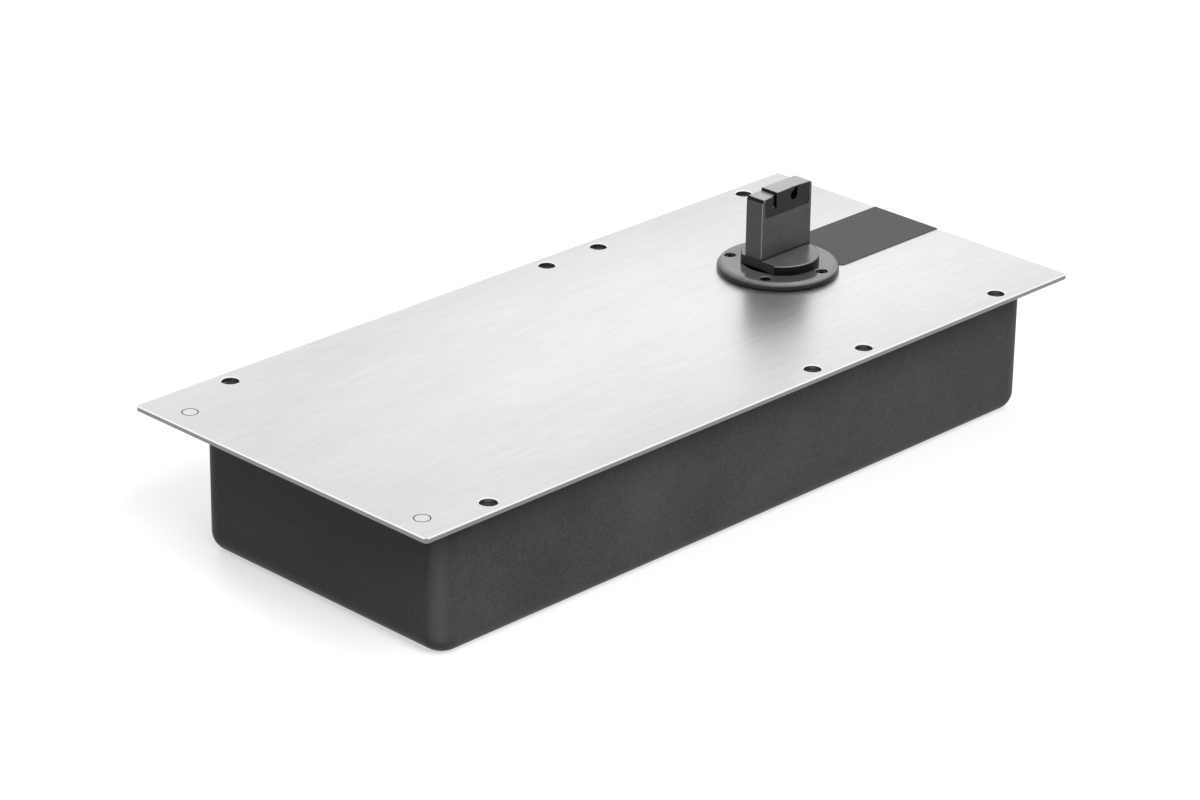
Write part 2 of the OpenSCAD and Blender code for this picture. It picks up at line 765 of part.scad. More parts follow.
module upper_bearing_balls() {
    color([0.8, 0.8, 0.82]) bearing_balls(upper_bearing, upper_bearing_z);
}

module upper_bearing_cage() {
    color([0.72, 0.6, 0.35]) bearing_cage(upper_bearing, upper_bearing_z);
}

module lower_bearing_outer() {
    color([0.7, 0.7, 0.72]) bearing_ring(lower_bearing, lower_bearing_z, 1);
}

module lower_bearing_inner() {
    color([0.7, 0.7, 0.72]) bearing_ring(lower_bearing, lower_bearing_z, 0);
}

module lower_bearing_balls() {
    color([0.8, 0.8, 0.82]) bearing_balls(lower_bearing, lower_bearing_z);
}

module lower_bearing_cage() {
    color([0.72, 0.6, 0.35]) bearing_cage(lower_bearing, lower_bearing_z);
}

// The turned part of the spindle, from the lower journal to the foot of the base
module spindle_shaft() {
    shoulder_z = lower_bearing_z + bearing_w;
    rotate_extrude($fn = 96) polygon([
        [0, lower_bearing_z + 0.3], [journal_d / 2 - 0.5, lower_bearing_z + 0.3],
        [journal_d / 2, lower_bearing_z + 0.8], [journal_d / 2, shoulder_z],
        [shaft_d / 2, shoulder_z], [shaft_d / 2, circlip_low],
        [shaft_d / 2 - circlip_groove, circlip_low], [shaft_d / 2 - circlip_groove, circlip_low + circlip_t],
        [shaft_d / 2, circlip_low + circlip_t], [shaft_d / 2, cam_top],
        [collar_d / 2, cam_top], [collar_d / 2, upper_bearing_z],
        [shaft_d / 2, upper_bearing_z], [shaft_d / 2, base_low + 1], [0, base_low + 1]
    ]);
}

// Shapes about the middle of the block, which stands off the spindle axis
module at_block() {
    translate([block_shift_x, block_shift_y, 0]) children();
}

// The round base with its flats, level with the block's ends
module spindle_base() {
    intersection() {
        rotate_extrude($fn = 96) polygon([
            [0, base_low], [base_foot_d / 2, base_low],
            [base_top_d / 2, base_top - base_chamfer], [base_top_d / 2 - base_chamfer, base_top], [0, base_top]
        ]);
        translate([block_shift_x - block_l / 2, -base_foot_d / 2, base_low])
            cube([block_l, base_foot_d, base_h]);
    }
}

// Hollow rounding between the block's faces and the top of the base
module foot_rounding() {
    for (t = [0, 1]) mirror([0, t, 0])
        translate([-block_l / 2 + block_edge_r, block_t / 2, base_top]) rotate([90, 0, 90])
            linear_extrude(block_l - 2 * block_edge_r) difference() {
                translate([-0.5, -0.5]) square(foot_fillet + 0.5);
                translate([foot_fillet, foot_fillet]) circle(foot_fillet, $fn = 24);
            }
}

// A flat drawing in X and Z, run to a depth behind the block's near face
module into_face(depth) {
    translate([0, depth - block_t / 2, block_top]) rotate([90, 0, 0]) linear_extrude(over + depth) children();
}

// Cuts in the block: step, eased corners, recess, pointer, drop-shaped hole and edge notch
module block_cuts() {
    end_low = step_drop + end_chamfer + over;
    recess_r = 1.6;
    into_face(2 * block_t) {
        translate([-block_l / 2 - over, -step_drop]) square([block_l / 2 + over + step_x, step_drop + over]);
        translate([-block_l / 2 - over, -end_low])
            polygon([[0, 0], [end_chamfer + 2 * over, end_chamfer + 2 * over], [0, end_chamfer + 2 * over]]);
        translate([block_l / 2 - corner_r, -corner_r]) difference() {
            square(corner_r + over);
            circle(corner_r);
        }
    }
    into_face(face_recess) translate([0, (over - face_recess_h) / 2])
        rounded_rect(block_l - 2 * face_recess_side, face_recess_h + over, recess_r);
    into_face(mark_depth) {
        translate([step_x - slot_w, -slot_reach]) square([slot_w, slot_reach + over]);
        translate([step_x - slot_w / 2, -arrow_drop])
            polygon([[-arrow_w / 2, 0], [0, -arrow_h], [arrow_w / 2, 0]]);
    }
    into_face(drop_hole_depth) {
        translate(drop_low) circle(drop_low_r);
        translate(drop_high) circle(drop_high_r);
        polygon([
            drop_low + drop_low_r * [1, 0], drop_high + drop_high_r * [1, 0],
            drop_high + drop_high_r * drop_left, drop_low + drop_low_r * drop_left
        ]);
    }
    translate([notch_x - notch_w / 2, -block_t / 2 - over, block_top - notch_cut - over])
        rotate([90, 0, 90]) linear_extrude(notch_w)
            polygon([[0, 0], [notch_cut + 2 * over, notch_cut + 2 * over], [0, notch_cut + 2 * over]]);
}

module spindle() {
    color([0.3, 0.3, 0.31]) at_spindle() difference() {
        union() {
            spindle_shaft();
            spindle_base();
            at_block() difference() {
                translate([0, 0, base_top - 1]) linear_extrude(block_h + 1)
                    rounded_rect(block_l, block_t, block_edge_r, $fn = 24);
                block_cuts();
            }
            intersection() {
                at_block() foot_rounding();
                cylinder(h = block_top, d = base_top_d - 2 * base_chamfer);
            }
        }
        keyway(key_depth, 0);
    }
}

// Space of the cam's key: out of the shaft by depth, with a clearance all round
module keyway(depth, gap) {
    translate([shaft_d / 2 - depth - gap, -key_w / 2 - gap, bore_z - key_l / 2 - gap])
        cube([2 * depth + 2 * gap, key_w + 2 * gap, key_l + 2 * gap]);
}

module cam() {
    color([0.5, 0.5, 0.52]) at_spindle() difference() {
        translate([0, 0, cam_low]) linear_extrude(cam_t) polygon(concat(flank_points, back_points));
        cylinder(h = cam_top + over, r = shaft_d / 2 + fit_gap);
        translate([0, -key_w / 2 - fit_gap, cam_low - over])
            cube([shaft_d / 2 + key_depth + fit_gap, key_w + 2 * fit_gap, cam_t + 2 * over]);
    }
}

module cam_key() {
    color([0.62, 0.6, 0.56]) at_spindle() translate([shaft_d / 2 - key_depth, -key_w / 2, bore_z - key_l / 2])
        cube([2 * key_depth, key_w, key_l]);
}

module cam_circlip() {
    mouth = 8;
    color([0.25, 0.25, 0.26]) at_spindle() translate([0, 0, circlip_low]) linear_extrude(circlip_t) difference() {
        circle(shaft_d / 2 + 2);
        circle(shaft_d / 2 - circlip_groove);
        translate([-mouth / 2, 0]) square([mouth, shaft_d]);
    }
}

// Plan of the fork arms: straight sides with a round end about the roller's axis
module arm_plan() {
    translate([full_end_x - 1, -arm_r]) square([roller_x - full_end_x + 1, 2 * arm_r]);
    translate([roller_x, 0]) circle(arm_r);
}

module piston() {
    color([0.6, 0.6, 0.62]) difference() {
        union() {
            at_bore() {
                bar_x(crown_x, full_end_x, 2 * piston_r);
                bar_x(crown_x - spigot_l, crown_x + 1, 2 * spigot_r);
            }
            for (s = [0, 1]) translate([0, spindle_y, bore_z + (s == 0 ? -slot_h / 2 - arm_t : slot_h / 2)])
                linear_extrude(arm_t) arm_plan();
        }
        translate([fork_root_x, spindle_y - bore_d, bore_z - slot_h / 2]) cube([bore_d, 2 * bore_d, slot_h]);
        translate([roller_x, spindle_y, bore_z - bore_d]) cylinder(h = 2 * bore_d, d = axle_d + 2 * fit_gap);
        at_bore() {
            difference() {
                bar_x(seal_groove_x, seal_groove_x + seal_groove_w, bore_d + 2);
                bar_x(seal_groove_x - 1, seal_groove_x + seal_groove_w + 1, bore_d - 2 * seal_groove_depth);
            }
            bar_x(crown_x - spigot_l - over, fork_root_x, passage_d);
            bar_x(seat_x + seat_run, fork_root_x + over, pocket_d);
            translate([seat_x, 0, 0]) rotate([0, 90, 0])
                cylinder(h = seat_run, d1 = passage_d, d2 = pocket_d);
        }
    }
}

module piston_seal() {
    color([0.12, 0.12, 0.12]) at_bore() difference() {
        bar_x(seal_groove_x + 0.1, seal_groove_x + seal_groove_w - 0.1, bore_d - 2 * run_gap);
        bar_x(seal_groove_x, seal_groove_x + seal_groove_w, bore_d - 2 * seal_groove_depth + 2 * fit_gap);
    }
}

module check_ball() {
    color([0.8, 0.8, 0.82]) at_bore() translate([check_ball_x, 0, 0]) sphere(d = check_d);
}

module check_cap() {
    port_d = 1.8;
    color([0.7, 0.6, 0.35]) at_bore() difference() {
        bar_x(check_cap_x, check_cap_x + check_cap_t, pocket_d - 2 * fit_gap);
        for (i = [0:3]) rotate([90 * i, 0, 0]) translate([0, 0, pocket_d / 2 - 1.5])
            bar_x(check_cap_x - over, check_cap_x + check_cap_t + over, port_d);
    }
}

module roller() {
    color([0.75, 0.75, 0.77]) translate([roller_x, spindle_y, bore_z - roller_w / 2]) difference() {
        cylinder(h = roller_w, r = roller_r);
        translate([0, 0, -over]) cylinder(h = roller_w + 2 * over, r = axle_d / 2 + run_gap + bush_wall);
    }
}

module roller_bush() {
    inner_r = axle_d / 2 + run_gap;
    color([0.72, 0.55, 0.3]) translate([roller_x, spindle_y, bore_z - roller_w / 2]) difference() {
        cylinder(h = roller_w, r = inner_r + bush_wall - fit_gap);
        translate([0, 0, -over]) cylinder(h = roller_w + 2 * over, r = inner_r);
    }
}

module roller_axle() {
    color([0.65, 0.65, 0.67]) translate([roller_x, spindle_y, bore_z - slot_h / 2 - arm_t])
        cylinder(h = slot_h + 2 * arm_t, d = axle_d);
}

module roller_washers() {
    color([0.7, 0.58, 0.34]) for (s = [-1, 1])
        translate([roller_x, spindle_y, bore_z + s * (slot_h / 2 - run_gap / 2 - washer_t / 2) - washer_t / 2])
            difference() {
                cylinder(h = washer_t, d = axle_d + 6);
                translate([0, 0, -over]) cylinder(h = washer_t + 2 * over, d = axle_d + 2 * fit_gap);
            }
}

// Closing spring: a wire wound about X, its end turns closer together than the rest
spring_x0 = plug_face_x + spring_gap + wire_d / 2;
spring_x1 = crown_x - spring_gap - wire_d / 2;
live_l = spring_x1 - spring_x0 - 2 * dead_turns * dead_pitch;
live_turns = round(live_l / spring_pitch);
live_pitch = live_l / live_turns;
spring_turns = live_turns + 2 * dead_turns;
coil_r = (spring_d - wire_d) / 2;
function coil_x(t) = spring_x0 + dead_pitch * min(t, dead_turns)
    + live_pitch * max(0, min(t, spring_turns - dead_turns) - dead_turns)
    + dead_pitch * max(0, t - spring_turns + dead_turns);
function coil_ring(t) = [for (j = [0:spring_sides - 1]) let (
        a = 360 * j / spring_sides,
        r = coil_r + wire_d / 2 * cos(a)
    ) [coil_x(t) + wire_d / 2 * sin(a), r * cos(360 * t), r * sin(360 * t)]];
coil_rings = spring_turns * spring_steps + 1;
echo(least_gap_between_turns = min(dead_pitch, live_pitch) - wire_d);

module closing_spring() {
    n = spring_sides;
    points = [for (i = [0:coil_rings - 1]) each coil_ring(i / spring_steps)];
    sides = [for (i = [0:coil_rings - 2], j = [0:n - 1]) let (
            a = i * n + j,
            b = i * n + (j + 1) % n
        ) each [[a, b, b + n], [a, b + n, a + n]]];
    first_cap = [for (j = [1:n - 2]) [0, j + 1, j]];
    last = (coil_rings - 1) * n;
    last_cap = [for (j = [1:n - 2]) [last, last + j, last + j + 1]];
    color([0.2, 0.22, 0.24]) at_bore() polyhedron(points = points, faces = concat(sides, first_cap, last_cap));
}

module spring_plug() {
    hex_d = 14;
    hex_deep = 8;
    color([0.5, 0.5, 0.52]) at_bore() difference() {
        union() {
            bar_x(body_end_x, plug_face_x, plug_thread_d - 2 * fit_gap);
            bar_x(plug_face_x - 1, plug_face_x + spigot_l, 2 * spigot_r);
        }
        rotate([0, 90, 0]) translate([0, 0, body_end_x - over]) cylinder(h = hex_deep + over, d = hex_d, $fn = 6);
        difference() {
            bar_x(oring_x, oring_x + oring_d + 0.4, plug_thread_d + 2);
            bar_x(oring_x - 1, oring_x + oring_d + 2, plug_thread_d - 2 * oring_d);
        }
    }
}

module spring_plug_oring() {
    color([0.1, 0.1, 0.1]) at_bore() translate([oring_x + oring_d / 2 + 0.2, 0, 0]) rotate([0, 90, 0])
        rotate_extrude() translate([plug_thread_d / 2 - oring_d / 2 - fit_gap, 0])
            circle(d = oring_d - 2 * fit_gap, $fn = 24);
}

// Height of the groove for a speed valve's ring
valve_groove_z = valve_seat_z + 3;

module speed_valve(x) {
    r = valve_d / 2 - run_gap;
    slot = 1.2;
    tip_r = 0.4;
    cone_h = 2.2;
    translate([x, gallery_y, 0]) difference() {
        rotate_extrude() polygon([
            [0, needle_low], [tip_r, needle_low], [needle_d / 2, needle_low + cone_h], [needle_d / 2, valve_seat_z],
            [needle_d / 2, valve_seat_z + 0.2], [r, valve_seat_z + 0.2], [r, valve_groove_z],
            [r - valve_oring_d, valve_groove_z], [r - valve_oring_d, valve_groove_z + valve_oring_d + 0.2],
            [r, valve_groove_z + valve_oring_d + 0.2], [r, body_top - 0.5], [0, body_top - 0.5]
        ]);
        translate([-valve_d, -slot / 2, body_top - 2]) cube([2 * valve_d, slot, 3]);
    }
}

module speed_valve_oring(x) {
    translate([x, gallery_y, valve_groove_z + valve_oring_d / 2 + 0.1]) rotate_extrude()
        translate([valve_d / 2 - run_gap - valve_oring_d / 2, 0]) circle(d = valve_oring_d - 2 * fit_gap, $fn = 24);
}

module closing_valve() {
    color([0.78, 0.66, 0.36]) speed_valve(closing_valve_x);
}

module closing_valve_oring() {
    color([0.1, 0.1, 0.1]) speed_valve_oring(closing_valve_x);
}

module latching_valve() {
    color([0.78, 0.66, 0.36]) speed_valve(latching_valve_x);
}

module latching_valve_oring() {
    color([0.1, 0.1, 0.1]) speed_valve_oring(latching_valve_x);
}

module gallery_plugs() {
    color([0.65, 0.65, 0.66]) {
        translate([0, gallery_y, bore_z])
            bar_x(body_end_x + 0.5, body_end_x + 0.5 + gallery_plug_l, gallery_d - 2 * fit_gap);
        translate([cross_x, gallery_y + gallery_d / 2 + 0.3, bore_z]) rotate([-90, 0, 0])
            cylinder(h = gallery_wall / 2 - gallery_d / 2 - 0.6, d = cross_d - 2 * fit_gap);
    }
}

module case_studs() {
    color([0.6, 0.6, 0.6]) at_each(stud_places) {
        translate([0, 0, case_t]) cylinder(h = stud_flange_t, d = stud_flange_d);
        translate([0, 0, case_t]) cylinder(h = stud_top - case_t, d = stud_d);
    }
}

module clamp_washers() {
    color([0.7, 0.7, 0.7]) at_each(stud_places) translate([0, 0, foot_top]) difference() {
        cylinder(h = clamp_washer_t, d = washer_d);
        translate([0, 0, -over]) cylinder(h = clamp_washer_t + 2 * over, d = stud_d + 0.4);
    }
}

module clamp_nuts() {
    color([0.7, 0.7, 0.7]) at_each(stud_places) translate([0, 0, foot_top + clamp_washer_t]) difference() {
        cylinder(h = nut_h, d = nut_af / cos(30), $fn = 6);
        translate([0, 0, -over]) cylinder(h = nut_h + 2 * over, d = stud_d + 2 * fit_gap);
    }
}

module levelling_screws() {
    color([0.45, 0.45, 0.46]) at_each(level_places) difference() {
        union() {
            translate([0, 0, case_t + 1]) cylinder(h = level_top - case_t - 1, d = level_d);
            translate([0, 0, case_t]) cylinder(h = 1, d1 = level_d - 2, d2 = level_d);
        }
        translate([0, 0, level_top - 3]) cylinder(h = 3 + over, d = hex_socket_d, $fn = 6);
    }
}

case_pan();
cover_plate();
label_strip();
plate_plugs();
cover_ring();
ring_screws();
closer_body();
body_lid();
lid_gasket();
lid_screws();
filler_screw();
shaft_seal();
upper_bearing_outer();
upper_bearing_inner();
upper_bearing_balls();
upper_bearing_cage();
lower_bearing_outer();
lower_bearing_inner();
lower_bearing_balls();
lower_bearing_cage();
spindle();
cam();
cam_key();
cam_circlip();
piston();
piston_seal();
check_ball();
check_cap();
roller();
roller_bush();
roller_axle();
roller_washers();
closing_spring();
spring_plug();
spring_plug_oring();
closing_valve();
closing_valve_oring();
latching_valve();
latching_valve_oring();
gallery_plugs();
case_studs();
clamp_washers();
clamp_nuts();
levelling_screws();
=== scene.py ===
"""Floor spring: finishes, fine pieces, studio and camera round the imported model."""
import json
import math

import bmesh
import bpy
from mathutils import Matrix, Vector


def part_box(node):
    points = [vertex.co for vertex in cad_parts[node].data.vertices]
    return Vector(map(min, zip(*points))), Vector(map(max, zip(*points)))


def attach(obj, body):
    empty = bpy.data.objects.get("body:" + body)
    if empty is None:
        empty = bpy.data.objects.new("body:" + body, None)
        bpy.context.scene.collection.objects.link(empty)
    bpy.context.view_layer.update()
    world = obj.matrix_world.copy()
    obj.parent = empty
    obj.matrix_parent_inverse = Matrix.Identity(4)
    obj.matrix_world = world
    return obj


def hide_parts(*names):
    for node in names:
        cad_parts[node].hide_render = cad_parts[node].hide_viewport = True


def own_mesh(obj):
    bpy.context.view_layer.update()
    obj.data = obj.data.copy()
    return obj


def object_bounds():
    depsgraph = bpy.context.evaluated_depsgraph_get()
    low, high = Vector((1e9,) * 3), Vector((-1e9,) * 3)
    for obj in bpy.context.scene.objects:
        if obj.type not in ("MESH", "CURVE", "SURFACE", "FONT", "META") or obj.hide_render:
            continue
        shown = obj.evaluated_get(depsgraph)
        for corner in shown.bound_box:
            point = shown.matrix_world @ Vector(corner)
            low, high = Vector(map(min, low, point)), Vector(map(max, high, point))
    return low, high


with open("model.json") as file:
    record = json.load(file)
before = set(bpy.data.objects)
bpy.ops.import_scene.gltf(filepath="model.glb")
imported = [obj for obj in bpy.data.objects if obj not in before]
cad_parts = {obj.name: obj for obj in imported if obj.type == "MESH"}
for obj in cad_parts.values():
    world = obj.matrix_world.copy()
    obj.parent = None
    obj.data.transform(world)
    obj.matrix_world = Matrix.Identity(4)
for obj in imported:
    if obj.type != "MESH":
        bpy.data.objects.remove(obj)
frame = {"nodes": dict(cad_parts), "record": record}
cad_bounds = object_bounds()
nodes = frame["nodes"]
MM = 0.001
MERGE = 0.001 * MM

# Camera: the photograph's own viewpoint, solved from the plate's corners and the case
CAMERA_AZIMUTH = math.radians(-45.69)
CAMERA_ELEVATION = math.radians(23.97)
CAMERA_ROLL = math.radians(0.84)
CAMERA_DISTANCE = 1586.49 * MM
CAMERA_SIDESTEP = 7.8 * MM
CAMERA_RISE = 24.23 * MM
CAMERA_REACH = 20.0
LENS = 124.29
SENSOR_WIDTH = 36.0

# Studio: the floor is lifted towards white, by less under the part, so that its shadow shows
WHITE = 1.0
FLOOR_TONE = 0.36
FLOOR_LIFT = 0.59
LIFT_NEAR = 0.6
LIFT_FAR = 1.4
FLOOR_SIZE = 6.0
WORLD_STRENGTH = 0.135

# Lamps: place in metres, size in metres, power in watts
LAMPS = {
    "key": ((-0.45, -1.15, 1.25), 1.0, 43),
    "top": ((0.1, 0.1, 1.7), 1.6, 14),
    "fill": ((0.6, 1.3, 0.9), 0.8, 16),
}

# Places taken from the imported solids
_, plate_high = (Vector(p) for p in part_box("cover_plate"))
ring_low, ring_high = (Vector(p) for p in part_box("cover_ring"))
_, spindle_high = (Vector(p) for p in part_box("spindle"))
screws_low, screws_high = (Vector(p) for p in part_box("ring_screws"))
PLATE_TOP = plate_high.z
RING_TOP = ring_high.z
BLOCK_TOP = spindle_high.z
SPINDLE_X = (ring_low.x + ring_high.x) / 2
SPINDLE_Y = (ring_low.y + ring_high.y) / 2

# Round base of the drive block, a little towards the near side
BASE_LOW = RING_TOP + 0.2 * MM
BASE_TOP = RING_TOP + 4.0 * MM
BASE_FOOT_RADIUS = 15.7 * MM
BASE_TOP_RADIUS = 15.5 * MM
BASE_SHIFT_Y = -0.95 * MM
BASE_BEVEL = 0.45 * MM
BASE_SIDES = 128
SHAFT_TOP = RING_TOP + 0.25 * MM

# Drive block: outline of its faces, and the step and rounded corners of its top
BLOCK_SHIFT_X = 1.5 * MM
BLOCK_SHIFT_Y = 1.8 * MM
BLOCK_LENGTH = 29 * MM
BLOCK_THICKNESS = 8.8 * MM
BLOCK_X = SPINDLE_X + BLOCK_SHIFT_X
BLOCK_LEFT = BLOCK_X - BLOCK_LENGTH / 2
BLOCK_RIGHT = BLOCK_X + BLOCK_LENGTH / 2
BLOCK_FACE_Y = SPINDLE_Y + BLOCK_SHIFT_Y - BLOCK_THICKNESS / 2
BLOCK_SUNK = 1 * MM
BLOCK_BEVEL = 0.5 * MM
STEP_X = BLOCK_X - 6.1 * MM
STEP_DROP = 1.2 * MM
STEP_TOP = BLOCK_TOP - STEP_DROP
STEP_ROUND = 1.8 * MM
CORNER_ROUND = 1.1 * MM

# Faces of the block and its base larger than this stay flat
FLAT_FACE = 4 * MM * MM

# Shallow recess in the near face
RECESS_LOW = BLOCK_TOP - 9.4 * MM
RECESS_DEPTH = 0.2 * MM
RECESS_SIDE = 1.6 * MM
RECESS_ROUND = 1.6 * MM

# Pointer slot with its V tip, drop-shaped hole and notch at the top of the near face
SLOT_WIDTH = 1.9 * MM
SLOT_REACH = 5.2 * MM
SLOT_DEPTH = 1.2 * MM
TIP_DROP = 5.4 * MM
TIP_WIDTH = 3.5 * MM
TIP_HEIGHT = 1.2 * MM
TIP_RISE = 0.1 * MM
DROP_DEPTH = 4 * MM
DROP_X = BLOCK_X + 4.1 * MM
DROP_BELOW_TOP = 3.4 * MM
DROP_RADIUS = 2 * MM
DROP_TIP_X = BLOCK_X + 5.4 * MM
DROP_TIP_BELOW_TOP = 0.95 * MM
DROP_TIP_RADIUS = 0.65 * MM
NOTCH_X = BLOCK_X + 3 * MM
NOTCH_WIDTH = 1.8 * MM
NOTCH_CUT = 0.7 * MM
CUT_OVER = 1 * MM

# Half the degrees that the small arc of the drop-shaped hole spans
DROP_SPREAD = 70

# Stretch of the near face, from left to right, that holds the slot, the hole and the notch
CUTS_LEFT = STEP_X - TIP_WIDTH
CUTS_RIGHT = DROP_X + 1.5 * DROP_RADIUS

# Screws of the cover ring
SCREW_CIRCLE = 19.8 * MM
SCREW_ANGLES = (2, 118, 208, 283)
SCREW_HEAD_RADIUS = 2.2 * MM
SCREW_HEAD_HEIGHT = 1.4 * MM
SCREW_RIM = 0.35 * MM
SCREW_SHANK_RADIUS = 1.23 * MM
SCREW_SOCKET_RADIUS = 1.15 * MM
SCREW_SOCKET_DEPTH = 0.8 * MM

# Brushed plate: noise in cycles per metre along X, Y and Z, and a painted sheen, lighter round a middle
# and fading away from it
BRUSH_MARKS = (90, 1300, 60)
BRUSH_STREAKS = (30, 420, 20)
BRUSH_CLOUDS = (7, 16, 10)
PAINTED_SHEEN_MIDDLE = (60 * MM, -6 * MM)
PAINTED_SHEEN_FALL = (18.0, 150.0)

# Matt coats: how much the X and Y of a face's direction count where a painted sheen lightens upright
# corners
SHEEN_WEIGHT_X = 0.78
SHEEN_WEIGHT_Y = 0.62

# Cover ring: height of the painted contact shadow at its foot, pitch of its turning marks, dimming of the
# painted highlight on its far shoulder
FOOT_SHADOW_START = PLATE_TOP + 0.5 * MM
FOOT_SHADOW_END = PLATE_TOP + 0.9 * MM
TURNING_PITCH = 0.35 * MM
FAR_HIGHLIGHT = 0.55

# Inputs and output of the colour Mix node
COLOUR_A = 6
COLOUR_B = 7
COLOUR_RESULT = 2


def new_material(name):
    """An empty node material with its Principled shader and output joined."""
    mat = bpy.data.materials.new(name)
    mat.use_nodes = True
    tree = mat.node_tree
    tree.nodes.clear()
    out = tree.nodes.new("ShaderNodeOutputMaterial")
    shader = tree.nodes.new("ShaderNodeBsdfPrincipled")
    tree.links.new(shader.outputs["BSDF"], out.inputs["Surface"])
    return mat, tree, shader


def set_shader(shader, **values):
    """Sets plain sockets of the Principled shader by name, underscores for blanks."""
    for key, value in values.items():
        shader.inputs[key.replace("_", " ")].default_value = value


def object_pattern(tree, scale, detail, rough):
    """Noise on Object coordinates, in cycles per metre: one value, or one for each axis."""
    scales = scale if isinstance(scale, tuple) else (scale, scale, scale)
    coord = tree.nodes.new("ShaderNodeTexCoord")
    mapping = tree.nodes.new("ShaderNodeMapping")
    mapping.inputs["Scale"].default_value = scales
    noise = tree.nodes.new("ShaderNodeTexNoise")
    noise.inputs["Scale"].default_value = 1.0
    noise.inputs["Detail"].default_value = detail
    noise.inputs["Roughness"].default_value = rough
    tree.links.new(coord.outputs["Object"], mapping.inputs["Vector"])
    tree.links.new(mapping.outputs["Vector"], noise.inputs["Vector"])
    return noise.outputs["Fac"]


def remap(tree, value, low, high, from_low=0.3, from_high=0.7):
    """Maps a value's range to another, held at both ends."""
    node = tree.nodes.new("ShaderNodeMapRange")
    node.inputs["From Min"].default_value = from_low
    node.inputs["From Max"].default_value = from_high
    node.inputs["To Min"].default_value = low
    node.inputs["To Max"].default_value = high
    tree.links.new(value, node.inputs["Value"])
    return node.outputs["Result"]


def rise(tree, value, start, end):
    """0 up to start, 1 from end on."""
    return remap(tree, value, 0.0, 1.0, start, end)


def fall(tree, value, start, end):
    """1 up to start, 0 from end on."""
    return remap(tree, value, 1.0, 0.0, start, end)


def contrasted(tree, noise):
    """Noise spread over the range from 0 to 1."""
    return rise(tree, noise, 0.35, 0.65)


def blend_colours(tree, factor, first, second):
    """A colour between two, by a factor from 0 to 1; each is a triple or a socket."""
    mix = tree.nodes.new("ShaderNodeMix")
    mix.data_type = "RGBA"
    for number, value in ((COLOUR_A, first), (COLOUR_B, second)):
        if isinstance(value, tuple):
            mix.inputs[number].default_value = (*value, 1)
        else:
            tree.links.new(value, mix.inputs[number])
    tree.links.new(factor, mix.inputs[0])
    return mix.outputs[COLOUR_RESULT]


def arithmetic(tree, operation, first, second=0.0):
    """Math node on one or two values or sockets."""
    node = tree.nodes.new("ShaderNodeMath")
    node.operation = operation
    for socket, value in zip(node.inputs, (first, second)):
        if isinstance(value, (int, float)):
            socket.default_value = value
        else:
            tree.links.new(value, socket)
    return node.outputs[0]


def product(tree, first, *others):
    """Product of values."""
    for other in others:
        first = arithmetic(tree, "MULTIPLY", first, other)
    return first


def weighted_sum(tree, *terms):
    """Sum of values, each times its weight."""
    total = None
    for value, weight in terms:
        part = arithmetic(tree, "MULTIPLY", value, weight)
        total = part if total is None else arithmetic(tree, "ADD", total, part)
    return total


def squared_distance(tree, middle=(0.0, 0.0), weights=(1.0, 1.0)):
    """Squares of the distances along X and Y from a middle, each times its weight, summed."""
    terms = []
    for value, centre, weight in zip(place(tree), middle, weights):
        away = arithmetic(tree, "SUBTRACT", value, centre)
        terms.append((arithmetic(tree, "POWER", away, 2), weight))
    return weighted_sum(tree, *terms)


def bump(tree, shader, height, strength, distance):
    """Surface relief from a height value, in metres."""
    node = tree.nodes.new("ShaderNodeBump")
    node.inputs["Strength"].default_value = strength
    node.inputs["Distance"].default_value = distance
    tree.links.new(height, node.inputs["Height"])
    tree.links.new(node.outputs["Normal"], shader.inputs["Normal"])


def split(tree, vector):
    """The X, Y and Z of a vector socket."""
    parts = tree.nodes.new("ShaderNodeSeparateXYZ")
    tree.links.new(vector, parts.inputs[0])
    return parts.outputs


def facing(tree):
    """X, Y and Z of the surface's direction."""
    return split(tree, tree.nodes.new("ShaderNodeNewGeometry").outputs["Normal"])


def place(tree):
    """X, Y and Z of a point on the object, in metres."""
    return split(tree, tree.nodes.new("ShaderNodeTexCoord").outputs["Object"])


def tinted(tree, colour, factor, spread):
    """A colour that a factor darkens or lightens by a share."""
    low = tuple(c * (1 - spread) for c in colour)
    high = tuple(min(1.0, c * (1 + spread)) for c in colour)
    return blend_colours(tree, factor, low, high)


def brushed_plate(name, dark, light, eased_highlight, cut_edge, rough_low, rough_high):
    """Stainless steel with short fine brush marks along X, a painted sheen in its middle, a painted
    highlight on the eased edges and darker cut sides.
    """
    mat, tree, shader = new_material(name)
    marks = object_pattern(tree, BRUSH_MARKS, 4.0, 0.6)
    streaks = object_pattern(tree, BRUSH_STREAKS, 3.0, 0.6)
    clouds = object_pattern(tree, BRUSH_CLOUDS, 2.0, 0.5)
    tone = weighted_sum(tree, (marks, 0.42), (streaks, 0.2), (clouds, 0.38))
    # Painted sheen: the plate's colour is lighter round a middle point and darker away from it
    polish_and_sheen = fall(tree, squared_distance(tree, PAINTED_SHEEN_MIDDLE, PAINTED_SHEEN_FALL), 0.0, 1.0)
    shade = weighted_sum(tree, (contrasted(tree, tone), 0.5), (polish_and_sheen, 0.5))
    colour = blend_colours(tree, shade, dark, light)
    nz = facing(tree)["Z"]
    # Painted highlight: faces tilted between up and sideways, the eased edges, get a near-white colour
    colour = blend_colours(tree, rise(tree, nz, 0.9, 0.97), eased_highlight, colour)
    colour = blend_colours(tree, rise(tree, nz, 0.2, 0.5), cut_edge, colour)
    tree.links.new(colour, shader.inputs["Base Color"])
    tree.links.new(remap(tree, tone, rough_low, rough_high), shader.inputs["Roughness"])
    bump(tree, shader, marks, 0.12, 0.01 * MM)
    set_shader(shader, Metallic=1.0)
    return mat


